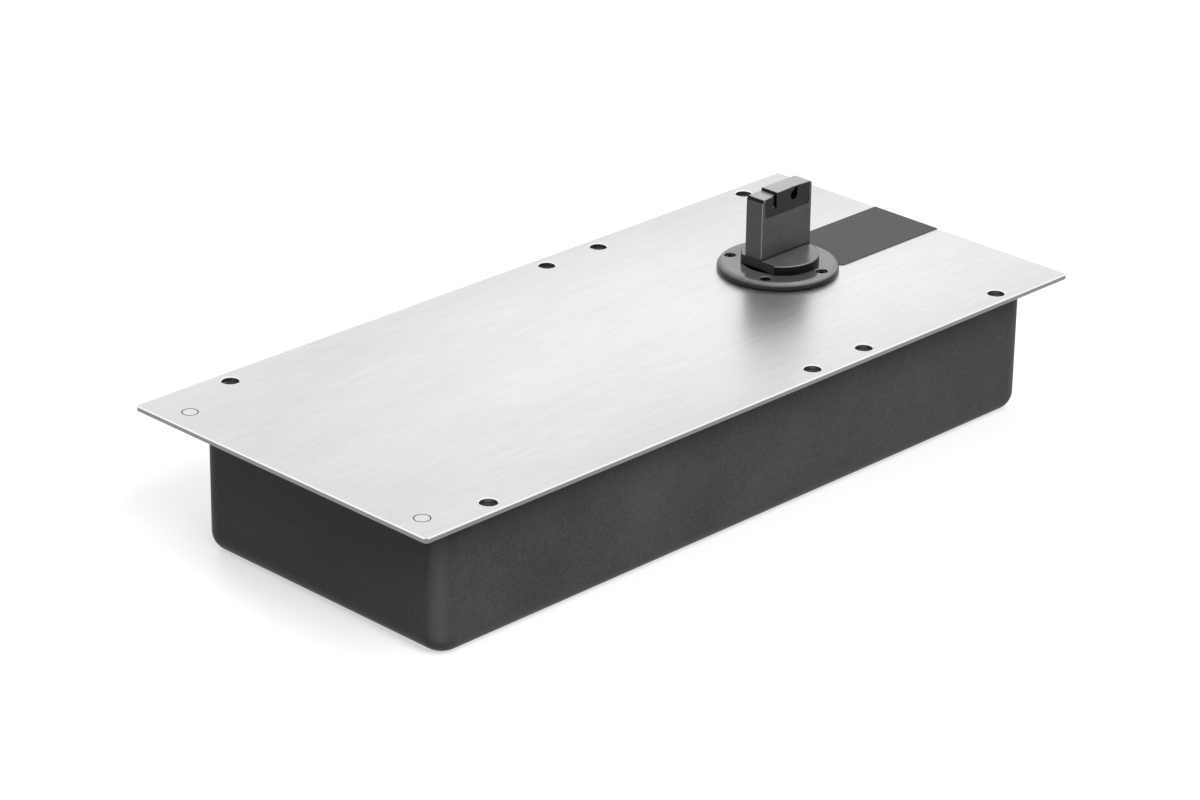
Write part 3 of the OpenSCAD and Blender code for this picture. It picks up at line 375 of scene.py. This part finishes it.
def grained_coat(name, dark, light, roughness, grain, depth, specular=0.3, corner_sheen=1.0):
    """Dark matt coat with a fine even grain and faint clouding; a painted sheen lightens upright corners.
    """
    mat, tree, shader = new_material(name)
    grains = object_pattern(tree, grain, 3.0, 0.6)
    clouds = object_pattern(tree, 28.0, 3.0, 0.5)
    tone = weighted_sum(tree, (grains, 0.55), (clouds, 0.45))
    colour = blend_colours(tree, contrasted(tree, tone), dark, light)
    nx, ny, _ = facing(tree)
    across = arithmetic(tree, "ABSOLUTE", nx)
    along = arithmetic(tree, "ABSOLUTE", ny)
    corner = weighted_sum(tree, (across, SHEEN_WEIGHT_X), (along, SHEEN_WEIGHT_Y))
    # Painted sheen: faces turned between X and Y, the upright corners, are blended towards the mean
    # colour times a gain, a painted highlight
    wear_and_sheen = tuple((a + b) / 2 * corner_sheen for a, b in zip(dark, light))
    colour = blend_colours(tree, remap(tree, corner, 0.0, 0.8, 0.9, 1.0), colour, wear_and_sheen)
    tree.links.new(colour, shader.inputs["Base Color"])
    tree.links.new(remap(tree, clouds, roughness - 0.05, roughness + 0.05), shader.inputs["Roughness"])
    bump(tree, shader, grains, 0.35, depth)
    set_shader(shader, Specular_IOR_Level=specular)
    return mat


def ring_finish(name, side, shoulder_highlight, top, side_rough, top_rough):
    """Polished flat top over a darker side, a painted highlight on the shoulder that is brightest on the
    near side, a painted black contact shadow at the foot, with fine turning marks.
    """
    # Black of the painted contact shadow at the ring's foot
    foot = (0.003, 0.003, 0.003)
    mat, tree, shader = new_material(name)
    _, ny, nz = facing(tree)
    wear_and_sheen = object_pattern(tree, 160.0, 4.0, 0.6)
    tone = contrasted(tree, wear_and_sheen)
    # Painted highlight: the shoulder between side and top is lightened, fully on the near side and less
    # on the far side
    near = remap(tree, ny, 1.0, FAR_HIGHLIGHT, -0.6, -0.2)
    highlight_mask = product(tree, rise(tree, nz, 0.3, 0.85), near)
    colour = blend_colours(tree, highlight_mask, tinted(tree, side, tone, 0.2), tinted(tree, shoulder_highlight, tone, 0.12))
    # Painted contact shadow: the lowest part of the side, just above the plate, is black
    colour = blend_colours(tree, rise(tree, place(tree)["Z"], FOOT_SHADOW_START, FOOT_SHADOW_END), foot, colour)
    up = rise(tree, nz, 0.95, 0.995)
    colour = blend_colours(tree, up, colour, tinted(tree, top, tone, 0.06))
    tree.links.new(colour, shader.inputs["Base Color"])
    polish_and_sheen = remap(tree, up, side_rough, top_rough, 0.0, 1.0)
    tree.links.new(weighted_sum(tree, (polish_and_sheen, 1.0), (wear_and_sheen, 0.05)), shader.inputs["Roughness"])
    radius = arithmetic(tree, "SQRT", squared_distance(tree, (SPINDLE_X, SPINDLE_Y)))
    marks = arithmetic(tree, "SINE", arithmetic(tree, "MULTIPLY", radius, 2 * math.pi / TURNING_PITCH))
    bump(tree, shader, marks, 0.1, 0.003 * MM)
    set_shader(shader, Metallic=0.8)
    return mat


def recess_mask(tree, y, z, ny):
    """1 on the floor of the shallow recess."""
    return product(
        tree,
        rise(tree, y, BLOCK_FACE_Y + 0.4 * RECESS_DEPTH, BLOCK_FACE_Y + 0.6 * RECESS_DEPTH),
        fall(tree, y, BLOCK_FACE_Y + 1.5 * RECESS_DEPTH, BLOCK_FACE_Y + 2 * RECESS_DEPTH),
        rise(tree, z, RECESS_LOW - RECESS_DEPTH, RECESS_LOW),
        fall(tree, ny, -0.995, -0.985),
    )


def cut_shadow_mask(tree, x, y, z, ny):
    """1 inside the pointer slot above its tip, the drop-shaped hole and the notch, behind the recess,
    where painted shadow goes.
    """
    middle = (CUTS_LEFT + CUTS_RIGHT) / 2
    sideways = arithmetic(tree, "ABSOLUTE", arithmetic(tree, "SUBTRACT", x, middle))
    reach = (CUTS_RIGHT - CUTS_LEFT) / 2
    return product(
        tree,
        fall(tree, sideways, reach - 0.1 * MM, reach),
        rise(tree, y, BLOCK_FACE_Y + 1.1 * RECESS_DEPTH, BLOCK_FACE_Y + 1.4 * RECESS_DEPTH),
        fall(tree, z, BLOCK_TOP - 0.1 * MM, BLOCK_TOP - 0.05 * MM),
        fall(tree, ny, 0.4, 0.6),
        rise(tree, z, BLOCK_TOP - TIP_DROP - 0.1 * MM, BLOCK_TOP - TIP_DROP),
    )


def spindle_finish(name):
    """Blackened steel: bright ground top, dark recess and base, painted highlights on the near edges,
    painted shade on the rounded end of the step, painted black shadow in the cuts.
    """
    side, recess, top = (0.082, 0.082, 0.084), (0.027, 0.027, 0.028), (0.43, 0.43, 0.44)
    base_side, base_flat, base_top = (0.004, 0.004, 0.004), (0.034, 0.034, 0.035), (0.26, 0.26, 0.263)
    # The light grey is a painted highlight for the near edges; the near-black is painted shade and
    # painted shadow
    edge_highlight, dark = (0.27, 0.27, 0.273), (0.006, 0.006, 0.006)
    mat, tree, shader = new_material(name)
    nx, ny, nz = facing(tree)
    x, y, z = place(tree)
    grains = object_pattern(tree, 900.0, 4.0, 0.65)
    wear_and_sheen = object_pattern(tree, 130.0, 4.0, 0.6)
    tone = contrasted(tree, weighted_sum(tree, (grains, 0.5), (wear_and_sheen, 0.5)))

    # Masks, from where a point lies and which way its face looks
    on_block = rise(tree, z, BASE_TOP + 0.1 * MM, BASE_TOP + 1.2 * MM)
    up = rise(tree, nz, 0.85, 0.97)
    between = remap(tree, product(tree, nx, ny), 0.0, 0.85, 0.2, 0.48)
    upright_edge = product(tree, between, on_block, fall(tree, nx, -0.2, 0.0))
    near_edge = product(tree, rise(tree, nz, 0.2, 0.5), fall(tree, ny, -0.5, -0.3))
    rounded_end = product(tree, rise(tree, nz, 0.1, 0.4), fall(tree, nx, -0.5, -0.3))
    under_step = fall(tree, z, STEP_TOP - 0.3 * MM, STEP_TOP - 0.1 * MM)
    off_top = arithmetic(tree, "MAXIMUM", under_step, arithmetic(tree, "SUBTRACT", 1.0, up))
    cut_shadow = product(tree, cut_shadow_mask(tree, x, y, z, ny), off_top)
    end_flat = fall(tree, nx, -0.95, -0.9)

    # Colours of the block, each laid over the last
    block = tinted(tree, side, tone, 0.18)
    block = blend_colours(tree, recess_mask(tree, y, z, ny), block, tinted(tree, recess, tone, 0.12))
    # Painted highlight on the near-left upright edge and the near top edges
    block = blend_colours(tree, arithmetic(tree, "MAXIMUM", upright_edge, near_edge), block, edge_highlight)
    # Painted shade: the rounded end of the step, tilted up and to the left, is near-black
    block = blend_colours(tree, rounded_end, block, dark)
    block = blend_colours(tree, up, block, tinted(tree, top, tone, 0.08))
    # Painted shadow: inside the slot, its tip, the drop-shaped hole and the notch, and on the step's
    # riser, the block is near-black
    block = blend_colours(tree, cut_shadow, block, dark)

    # Colours of the round base, in the same way
    base = blend_colours(tree, end_flat, tinted(tree, base_side, tone, 0.2), base_flat)
    # Painted highlight on the base's near top edge
    base = blend_colours(tree, near_edge, base, edge_highlight)
    base = blend_colours(tree, up, base, tinted(tree, base_top, tone, 0.15))

    tree.links.new(blend_colours(tree, on_block, base, block), shader.inputs["Base Color"])
    rough = weighted_sum(tree, (remap(tree, up, 0.4, 0.26, 0.0, 1.0), 1.0), (wear_and_sheen, 0.1))
    tree.links.new(rough, shader.inputs["Roughness"])
    bump(tree, shader, grains, 0.15, 0.02 * MM)
    set_shader(shader, Metallic=0.8)
    return mat


def plain_metal(name, colour, roughness, grain=700.0, spread=0.1):
    """Bright or dull metal with a light grain."""
    mat, tree, shader = new_material(name)
    grains = object_pattern(tree, grain, 4.0, 0.6)
    tree.links.new(tinted(tree, colour, remap(tree, grains, 0, 1), spread), shader.inputs["Base Color"])
    tree.links.new(remap(tree, grains, roughness - 0.04, roughness + 0.06), shader.inputs["Roughness"])
    bump(tree, shader, grains, 0.15, 0.02 * MM)
    set_shader(shader, Metallic=1.0)
    return mat


def matt_rubber(name, colour):
    """Rubber of seals and rings."""
    mat, tree, shader = new_material(name)
    grains = object_pattern(tree, 1500.0, 3.0, 0.6)
    tree.links.new(tinted(tree, colour, remap(tree, grains, 0, 1), 0.22), shader.inputs["Base Color"])
    tree.links.new(remap(tree, grains, 0.55, 0.7), shader.inputs["Roughness"])
    bump(tree, shader, grains, 0.2, 0.03 * MM)
    return mat


finishes = {
    "plate_steel": brushed_plate(
        "plate_steel", dark=(0.68, 0.68, 0.684), light=(0.94, 0.94, 0.943), eased_highlight=(0.97, 0.97, 0.97),
        cut_edge=(0.27, 0.27, 0.273), rough_low=0.3, rough_high=0.36),
    "plug_steel": plain_metal("plug_steel", (0.78, 0.78, 0.784), 0.3, (110, 1500, 60), 0.04),
    "case_paint": grained_coat(
        "case_paint", dark=(0.029, 0.029, 0.03), light=(0.055, 0.055, 0.057), roughness=0.5,
        grain=1100.0, depth=0.05 * MM, specular=0.12, corner_sheen=1.6),
    "strip_grey": grained_coat(
        "strip_grey", dark=(0.038, 0.038, 0.04), light=(0.052, 0.052, 0.054), roughness=0.55,
        grain=2600.0, depth=0.03 * MM),
    "ring_grey": ring_finish(
        "ring_grey", side=(0.024, 0.024, 0.025), shoulder_highlight=(0.32, 0.32, 0.325), top=(0.25, 0.25, 0.255),
        side_rough=0.34, top_rough=0.13),
    "spindle_steel": spindle_finish("spindle_steel"),
    "screw_black": plain_metal("screw_black", (0.03, 0.03, 0.031), 0.5),
    "cast_grey": grained_coat("cast_grey", (0.1, 0.11, 0.12), (0.15, 0.16, 0.17), 0.6, 700.0, 0.2 * MM),
    "lid_grey": grained_coat("lid_grey", (0.13, 0.14, 0.15), (0.19, 0.2, 0.21), 0.5, 700.0, 0.1 * MM),
    "gasket_green": matt_rubber("gasket_green", (0.05, 0.08, 0.065)),
    "screw_steel": plain_metal("screw_steel", (0.5, 0.5, 0.51), 0.3),
    "seal_rubber": matt_rubber("seal_rubber", (0.018, 0.018, 0.018)),
    "bearing_steel": plain_metal("bearing_steel", (0.7, 0.7, 0.72), 0.12, spread=0.03),
    "cage_brass": plain_metal("cage_brass", (0.65, 0.48, 0.22), 0.32),
    "cam_steel": plain_metal("cam_steel", (0.4, 0.4, 0.42), 0.3, (300, 300, 1800)),
    "piston_steel": plain_metal("piston_steel", (0.5, 0.5, 0.52), 0.25, (2400, 60, 60)),
    "valve_brass": plain_metal("valve_brass", (0.68, 0.52, 0.24), 0.28),
    "spring_steel": plain_metal("spring_steel", (0.12, 0.13, 0.15), 0.35),
}


def dress_nodes():
    """Gives every CAD node the finish of its slot."""
    for part in frame["record"]["subparts"]:
        mesh = nodes[part["node"]].data
        mesh.materials.clear()
        mesh.materials.append(finishes[part["material_slot"]])


def new_piece(name, data):
    """An object of the scene, from a mesh, a camera or a light."""
    piece = bpy.data.objects.new(name, data)
    bpy.context.scene.collection.objects.link(piece)
    return piece


def evaluated_mesh(piece):
    """A plain mesh of a piece with its modifiers worked out."""
    evaluated = piece.evaluated_get(bpy.context.evaluated_depsgraph_get())
    return bpy.data.meshes.new_from_object(evaluated)


def add_node(tree, kind, **inputs):
    """A Geometry Nodes node with plain inputs set by name or number, underscores for blanks."""
    node = tree.nodes.new(kind)
    for key, value in inputs.items():
        socket = node.inputs[key.replace("_", " ")]
        if isinstance(value, bpy.types.NodeSocket):
            tree.links.new(value, socket)
        else:
            socket.default_value = value
    return node


def shifted(tree, geometry, height):
    """Geometry moved up by a height socket."""
    offset = add_node(tree, "ShaderNodeCombineXYZ", Z=height)
    move = add_node(tree, "GeometryNodeTransform", Geometry=geometry, Translation=offset.outputs[0])
    return move.outputs[0]


def socket_screw_tree(sizes, finish):
    """Geometry Nodes: one socket screw, its head's top at the point, at each input vertex."""
    tree = bpy.data.node_groups.new("socket_screws", "GeometryNodeTree")
    tree.interface.new_socket("Geometry", in_out="INPUT", socket_type="NodeSocketGeometry")
    for name, value in sizes.items():
        size = tree.interface.new_socket(name, in_out="INPUT", socket_type="NodeSocketFloat")
        size.default_value = value
    tree.interface.new_socket("Geometry", in_out="OUTPUT", socket_type="NodeSocketGeometry")
    given = tree.nodes.new("NodeGroupInput").outputs
    out = tree.nodes.new("NodeGroupOutput")

    def maths(operation, first, second):
        """Math on two sockets or numbers."""
        return arithmetic(tree, operation, first, second)

    rim, head_h, head_r = given["Rim"], given["Head height"], given["Head radius"]
    shank_h, shank_r = given["Shank length"], given["Shank radius"]
    upper = add_node(tree, "GeometryNodeMeshCone", Vertices=48, Radius_Top=maths("SUBTRACT", head_r, rim),
                     Radius_Bottom=head_r, Depth=rim)
    upper_part = shifted(tree, upper.outputs[0], maths("MULTIPLY", rim, -1.0))
    drum_h = maths("SUBTRACT", head_h, rim)
    drum = add_node(tree, "GeometryNodeMeshCylinder", Vertices=48, Radius=head_r, Depth=drum_h)
    drum_part = shifted(tree, drum.outputs[0], maths("MULTIPLY", maths("ADD", head_h, rim), -0.5))
    shank = add_node(tree, "GeometryNodeMeshCylinder", Vertices=32, Radius=shank_r, Depth=shank_h)
    shank_low = maths("MULTIPLY", maths("ADD", maths("MULTIPLY", head_h, 2.0), shank_h), -0.5)
    shank_part = shifted(tree, shank.outputs[0], shank_low)
    solid = tree.nodes.new("GeometryNodeMeshBoolean")
    solid.operation = "UNION"
    solid.solver = "EXACT"
    for piece in (upper_part, drum_part, shank_part):
        tree.links.new(piece, solid.inputs[1])
    hexagon = add_node(tree, "GeometryNodeMeshCylinder", Vertices=6, Radius=given["Socket radius"],
                       Depth=maths("MULTIPLY", given["Socket depth"], 2.0))
    cut = tree.nodes.new("GeometryNodeMeshBoolean")
    cut.operation = "DIFFERENCE"
    cut.solver = "EXACT"
    tree.links.new(solid.outputs[0], cut.inputs[0])
    tree.links.new(hexagon.outputs[0], cut.inputs[1])
    points = add_node(tree, "GeometryNodeMeshToPoints", Mesh=given["Geometry"])
    spread = add_node(tree, "GeometryNodeInstanceOnPoints", Points=points.outputs[0],
                      Instance=cut.outputs[0])
    real = add_node(tree, "GeometryNodeRealizeInstances", Geometry=spread.outputs[0])
    dressed = add_node(tree, "GeometryNodeSetMaterial", Geometry=real.outputs[0], Material=finish)
    tree.links.new(dressed.outputs[0], out.inputs[0])
    return tree


def make_ring_screws():
    """The four socket screws of the cover ring, in place of their plain solids."""
    sizes = {
        "Head radius": SCREW_HEAD_RADIUS,
        "Head height": SCREW_HEAD_HEIGHT,
        "Rim": SCREW_RIM,
        "Shank radius": SCREW_SHANK_RADIUS,
        "Shank length": screws_high.z - SCREW_HEAD_HEIGHT - screws_low.z,
        "Socket radius": SCREW_SOCKET_RADIUS,
        "Socket depth": SCREW_SOCKET_DEPTH,
    }
    places = []
    for angle in SCREW_ANGLES:
        x = SPINDLE_X + SCREW_CIRCLE * math.cos(math.radians(angle))
        y = SPINDLE_Y + SCREW_CIRCLE * math.sin(math.radians(angle))
        places.append((x, y, screws_high.z))
    seed = bpy.data.meshes.new("screw_places")
    seed.from_pydata(places, [], [])
    carrier = new_piece("screw_places", seed)
    modifier = carrier.modifiers.new("screws", "NODES")
    modifier.node_group = socket_screw_tree(sizes, finishes["screw_black"])
    for item in modifier.node_group.interface.items_tree:
        if item.in_out == "INPUT" and item.name in sizes:
            modifier[item.identifier] = sizes[item.name]
    mesh = evaluated_mesh(carrier)
    bpy.data.objects.remove(carrier)
    screws = new_piece("ring_socket_screws", mesh)
    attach(screws, "floor_case")
    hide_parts("ring_screws")


def arc(x, z, radius, start, end, steps=8):
    """Points of an arc in X and Z, angles in degrees."""
    angles = [math.radians(start + (end - start) * i / steps) for i in range(steps + 1)]
    return [(x + radius * math.cos(a), z + radius * math.sin(a)) for a in angles]


def slab(name, outline, start, end):
    """A closed slab: an outline in X and Z, run along Y from start to end."""
    count = len(outline)
    points = [(x, y, z) for y in (start, end) for x, z in outline]
    faces = [tuple(range(count)), tuple(range(2 * count - 1, count - 1, -1))]
    faces += [(i, i + count, (i + 1) % count + count, (i + 1) % count) for i in range(count)]
    mesh = bpy.data.meshes.new(name)
    mesh.from_pydata(points, [], faces)
    return new_piece(name, outward(mesh))


def outward(mesh):
    """The mesh with its doubles merged and its faces turned outwards."""
    shell = bmesh.new()
    shell.from_mesh(mesh)
    bmesh.ops.remove_doubles(shell, verts=shell.verts, dist=MERGE)
    bmesh.ops.recalc_face_normals(shell, faces=shell.faces)
    shell.to_mesh(mesh)
    shell.free()
    return mesh


def settled(piece):
    """Turns a piece's modifiers into its mesh."""
    mesh = evaluated_mesh(piece)
    piece.modifiers.clear()
    piece.data = mesh
    return piece


def bevelled(piece, width):
    """Rounds a piece's sharp edges."""
    bevel = piece.modifiers.new("edges", "BEVEL")
    bevel.width = width
    bevel.segments = 3
    bevel.limit_method = "ANGLE"
    bevel.angle_limit = math.radians(40)
    return settled(piece)


def combined(piece, other, operation):
    """A piece joined with another, or cut by it; the other is used up."""
    step = piece.modifiers.new("solid", "BOOLEAN")
    step.operation = operation
    step.solver = "EXACT"
    step.object = other
    settled(piece)
    bpy.data.objects.remove(other)
    return piece


def cut_off(shell, point, direction):
    """Cuts away what lies past a plane, on the side that the direction points to, and closes the cut."""
    everything = shell.verts[:] + shell.edges[:] + shell.faces[:]
    cut = bmesh.ops.bisect_plane(shell, geom=everything, plane_co=point, plane_no=direction,
                                 clear_outer=True)
    rim = [part for part in cut["geom_cut"] if isinstance(part, bmesh.types.BMEdge)]
    bmesh.ops.holes_fill(shell, edges=rim, sides=0)


def block_outline():
    """Side view of the drive block: stepped top, rounded end of the step, rounded far corner."""
    foot = BASE_TOP - BLOCK_SUNK
    return [
        (BLOCK_LEFT, foot), (BLOCK_RIGHT, foot),
        *arc(BLOCK_RIGHT - CORNER_ROUND, BLOCK_TOP - CORNER_ROUND, CORNER_ROUND, 0, 90),
        (STEP_X, BLOCK_TOP), (STEP_X, STEP_TOP),
        *arc(BLOCK_LEFT + STEP_ROUND, STEP_TOP - STEP_ROUND, STEP_ROUND, 90, 180),
    ]


def recess_outline():
    """The shallow recess: open at the top, with rounded lower corners."""
    high = BLOCK_TOP + CUT_OVER
    left, right = BLOCK_LEFT + RECESS_SIDE, BLOCK_RIGHT - RECESS_SIDE
    return [
        (right, high), (left, high),
        *arc(left + RECESS_ROUND, RECESS_LOW + RECESS_ROUND, RECESS_ROUND, 180, 270),
        *arc(right - RECESS_ROUND, RECESS_LOW + RECESS_ROUND, RECESS_ROUND, 270, 360),
    ]


def slot_outline():
    """The pointer slot, open at the top, its right side in line with the step."""
    high, low = BLOCK_TOP + CUT_OVER, BLOCK_TOP - SLOT_REACH
    left = STEP_X - SLOT_WIDTH
    return [(STEP_X, high), (left, high), (left, low), (STEP_X, low)]


def tip_outline():
    """The V tip below the pointer slot."""
    middle = STEP_X - SLOT_WIDTH / 2
    level = BLOCK_TOP - TIP_DROP
    high = level + TIP_RISE
    return [(middle - TIP_WIDTH / 2, high), (middle, level - TIP_HEIGHT), (middle + TIP_WIDTH / 2, high)]


def drop_outline():
    """The drop-shaped hole: a large arc low on the left and a small one high on the right."""
    lean = math.degrees(math.atan2(DROP_BELOW_TOP - DROP_TIP_BELOW_TOP, DROP_TIP_X - DROP_X))
    tip_from, tip_to = lean - DROP_SPREAD, lean + DROP_SPREAD
    return [
        *arc(DROP_TIP_X, BLOCK_TOP - DROP_TIP_BELOW_TOP, DROP_TIP_RADIUS, tip_from, tip_to),
        *arc(DROP_X, BLOCK_TOP - DROP_BELOW_TOP, DROP_RADIUS, tip_to, tip_from + 360, 20),
    ]


def notch_cutter():
    """A wedge that takes a short notch off the near top edge."""
    y, z = BLOCK_FACE_Y - CUT_OVER, BLOCK_TOP + CUT_OVER
    reach = NOTCH_CUT + 2 * CUT_OVER
    section = [(y, z), (y + reach, z), (y, z - reach)]
    points = [(NOTCH_X + side * NOTCH_WIDTH / 2, *p) for side in (-1, 1) for p in section]
    mesh = bpy.data.meshes.new("notch")
    mesh.from_pydata(points, [], [(0, 1, 2), (5, 4, 3), (0, 3, 4, 1), (1, 4, 5, 2), (2, 5, 3, 0)])
    return new_piece("notch", outward(mesh))


def round_base():
    """The block's round base, cut flat level with the block's left end."""
    shell = bmesh.new()
    height = BASE_TOP - BASE_LOW
    middle = (SPINDLE_X, SPINDLE_Y + BASE_SHIFT_Y, BASE_LOW + height / 2)
    bmesh.ops.create_cone(shell, cap_ends=True, segments=BASE_SIDES, radius1=BASE_FOOT_RADIUS,
                          radius2=BASE_TOP_RADIUS, depth=height, matrix=Matrix.Translation(middle))
    cut_off(shell, (BLOCK_LEFT, 0, 0), (-1, 0, 0))
    mesh = bpy.data.meshes.new("base")
    shell.to_mesh(mesh)
    shell.free()
    return bevelled(new_piece("base", outward(mesh)), BASE_BEVEL)


def shaft_below(height):
    """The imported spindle's shaft below a height, as a closed shell."""
    shell = bmesh.new()
    shell.from_mesh(nodes["spindle"].data)
    bmesh.ops.remove_doubles(shell, verts=shell.verts, dist=MERGE)
    cut_off(shell, (0, 0, height), (0, 0, 1))
    return shell


def drive_block():
    """The drive block on its round base, with the cuts of its near face."""
    block = slab("drive_block", block_outline(), BLOCK_FACE_Y, BLOCK_FACE_Y + BLOCK_THICKNESS)
    bevelled(block, BLOCK_BEVEL)
    cuts = {
        "recess": (recess_outline(), RECESS_DEPTH),
        "slot": (slot_outline(), SLOT_DEPTH),
        "tip": (tip_outline(), SLOT_DEPTH),
        "drop": (drop_outline(), DROP_DEPTH),
    }
    for name, (outline, depth) in cuts.items():
        combined(block, slab(name, outline, BLOCK_FACE_Y - CUT_OVER, BLOCK_FACE_Y + depth), "DIFFERENCE")
    combined(block, notch_cutter(), "DIFFERENCE")
    return combined(block, round_base(), "UNION")


def make_drive_spindle():
    """The spindle with a finely edged block and base, in place of its plain solid."""
    block = drive_block()
    whole = shaft_below(SHAFT_TOP)
    whole.from_mesh(block.data)
    mesh = bpy.data.meshes.new("drive_spindle")
    whole.to_mesh(mesh)
    whole.free()
    bpy.data.objects.remove(block)
    mesh.shade_smooth()
    mesh.set_sharp_from_angle(angle=math.radians(32))
    for face in mesh.polygons:
        if face.center.z > BASE_LOW and face.area > FLAT_FACE:
            face.use_smooth = False
    mesh.materials.append(finishes["spindle_steel"])
    spindle = new_piece("drive_spindle", mesh)
    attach(spindle, "spindle_group")
    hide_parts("spindle")


def make_closing_coil():
    """The closing spring as a smooth-shaded piece riding on the floor case, in place of its plain solid.
    """
    mesh = outward(nodes["closing_spring"].data.copy())
    mesh.shade_smooth()
    mesh.set_sharp_from_angle(angle=math.radians(40))
    mesh.materials.clear()
    mesh.materials.append(finishes["spring_steel"])
    coil = new_piece("closing_coil", mesh)
    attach(coil, "floor_case")
    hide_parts("closing_spring")
    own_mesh(coil)


def camera_frame():
    """Turn and place of the camera, from its angles about the plate's centre."""
    az, el, shoulder_highlight = CAMERA_AZIMUTH, CAMERA_ELEVATION, CAMERA_ROLL
    back = Vector((math.sin(az) * math.cos(el), -math.cos(az) * math.cos(el), math.sin(el)))
    right = Vector((0, 0, 1)).cross(back).normalized()
    up = back.cross(right)
    right_rolled = right * math.cos(shoulder_highlight) + up * math.sin(shoulder_highlight)
    up_rolled = up * math.cos(shoulder_highlight) - right * math.sin(shoulder_highlight)
    target = Vector((0, 0, PLATE_TOP))
    spot = target - right_rolled * CAMERA_SIDESTEP - up_rolled * CAMERA_RISE + back * CAMERA_DISTANCE
    turn = Matrix((right_rolled, up_rolled, back)).transposed().to_4x4()
    return Matrix.Translation(spot) @ turn


def make_camera():
    """The camera of the photograph."""
    data = bpy.data.cameras.new("camera")
    data.lens = LENS
    data.sensor_width = SENSOR_WIDTH
    data.sensor_fit = "HORIZONTAL"
    data.clip_end = CAMERA_REACH
    cam = new_piece("camera", data)
    cam.matrix_world = camera_frame()
    bpy.context.scene.camera = cam


def ray_is(tree, *kinds):
    """1 for rays of the given kinds, 0 for others."""
    rays = tree.nodes.new("ShaderNodeLightPath").outputs
    total = rays[kinds[0]]
    for kind in kinds[1:]:
        total = arithmetic(tree, "MAXIMUM", total, rays[kind])
    return total


def show_mixed(tree, out, factor, first, second):
    """Joins a mix of two shaders to the output."""
    mix = tree.nodes.new("ShaderNodeMixShader")
    tree.links.new(factor, mix.inputs[0])
    tree.links.new(first.outputs[0], mix.inputs[1])
    tree.links.new(second.outputs[0], mix.inputs[2])
    tree.links.new(mix.outputs[0], out.inputs["Surface"])


def floor_finish():
    """Pale matt floor, lifted to white for the camera and plain white in reflections."""
    mat = bpy.data.materials.new("floor_white")
    mat.use_nodes = True
    tree = mat.node_tree
    tree.nodes.clear()
    out = tree.nodes.new("ShaderNodeOutputMaterial")
    matt = tree.nodes.new("ShaderNodeBsdfDiffuse")
    matt.inputs["Color"].default_value = (FLOOR_TONE, FLOOR_TONE, FLOOR_TONE, 1)
    away = arithmetic(tree, "SQRT", squared_distance(tree))
    strength = remap(tree, away, FLOOR_LIFT, WHITE, LIFT_NEAR, LIFT_FAR)
    lift = tree.nodes.new("ShaderNodeEmission")
    tree.links.new(product(tree, ray_is(tree, "Is Camera Ray"), strength), lift.inputs["Strength"])
    lifted = tree.nodes.new("ShaderNodeAddShader")
    tree.links.new(matt.outputs[0], lifted.inputs[0])
    tree.links.new(lift.outputs[0], lifted.inputs[1])
    mirrored = tree.nodes.new("ShaderNodeEmission")
    mirrored.inputs["Strength"].default_value = WHITE
    show_mixed(tree, out, ray_is(tree, "Is Glossy Ray", "Is Transmission Ray"), lifted, mirrored)
    return mat


def make_floor():
    """The floor under the part, with the part's shadow."""
    half = FLOOR_SIZE / 2
    z = min(0.0, cad_bounds[0][2])
    mesh = bpy.data.meshes.new("floor")
    corners = [(-half, -half, z), (half, -half, z), (half, half, z), (-half, half, z)]
    mesh.from_pydata(corners, [], [(0, 1, 2, 3)])
    mesh.materials.append(floor_finish())
    floor = new_piece("floor", mesh)


def make_world():
    """White to the camera and in reflections, an even soft light to everything else."""
    world = bpy.data.worlds.new("studio")
    world.use_nodes = True
    bpy.context.scene.world = world
    tree = world.node_tree
    tree.nodes.clear()
    out = tree.nodes.new("ShaderNodeOutputWorld")
    shades = []
    for strength in (WORLD_STRENGTH, WHITE):
        shade = tree.nodes.new("ShaderNodeBackground")
        shade.inputs["Color"].default_value = (1, 1, 1, 1)
        shade.inputs["Strength"].default_value = strength
        shades.append(shade)
    seen = ray_is(tree, "Is Camera Ray", "Is Glossy Ray", "Is Transmission Ray")
    show_mixed(tree, out, seen, *shades)


def area_light(name, spot, size, power):
    """A square soft light that looks at the middle of the plate and shows in no reflection."""
    data = bpy.data.lights.new(name, "AREA")
    data.shape = "SQUARE"
    data.size = size
    data.energy = power
    lamp = new_piece(name, data)
    lamp.location = spot
    towards = Vector((0, 0, PLATE_TOP)) - Vector(spot)
    lamp.rotation_euler = towards.to_track_quat("-Z", "Y").to_euler()
    lamp.visible_glossy = False


make_camera()
make_floor()
make_world()
for lamp_name, (spot, size, power) in LAMPS.items():
    area_light(lamp_name, spot, size, power)
dress_nodes()
make_ring_screws()
make_drive_spindle()
make_closing_coil()

bpy.context.scene.view_settings.view_transform = "Standard"
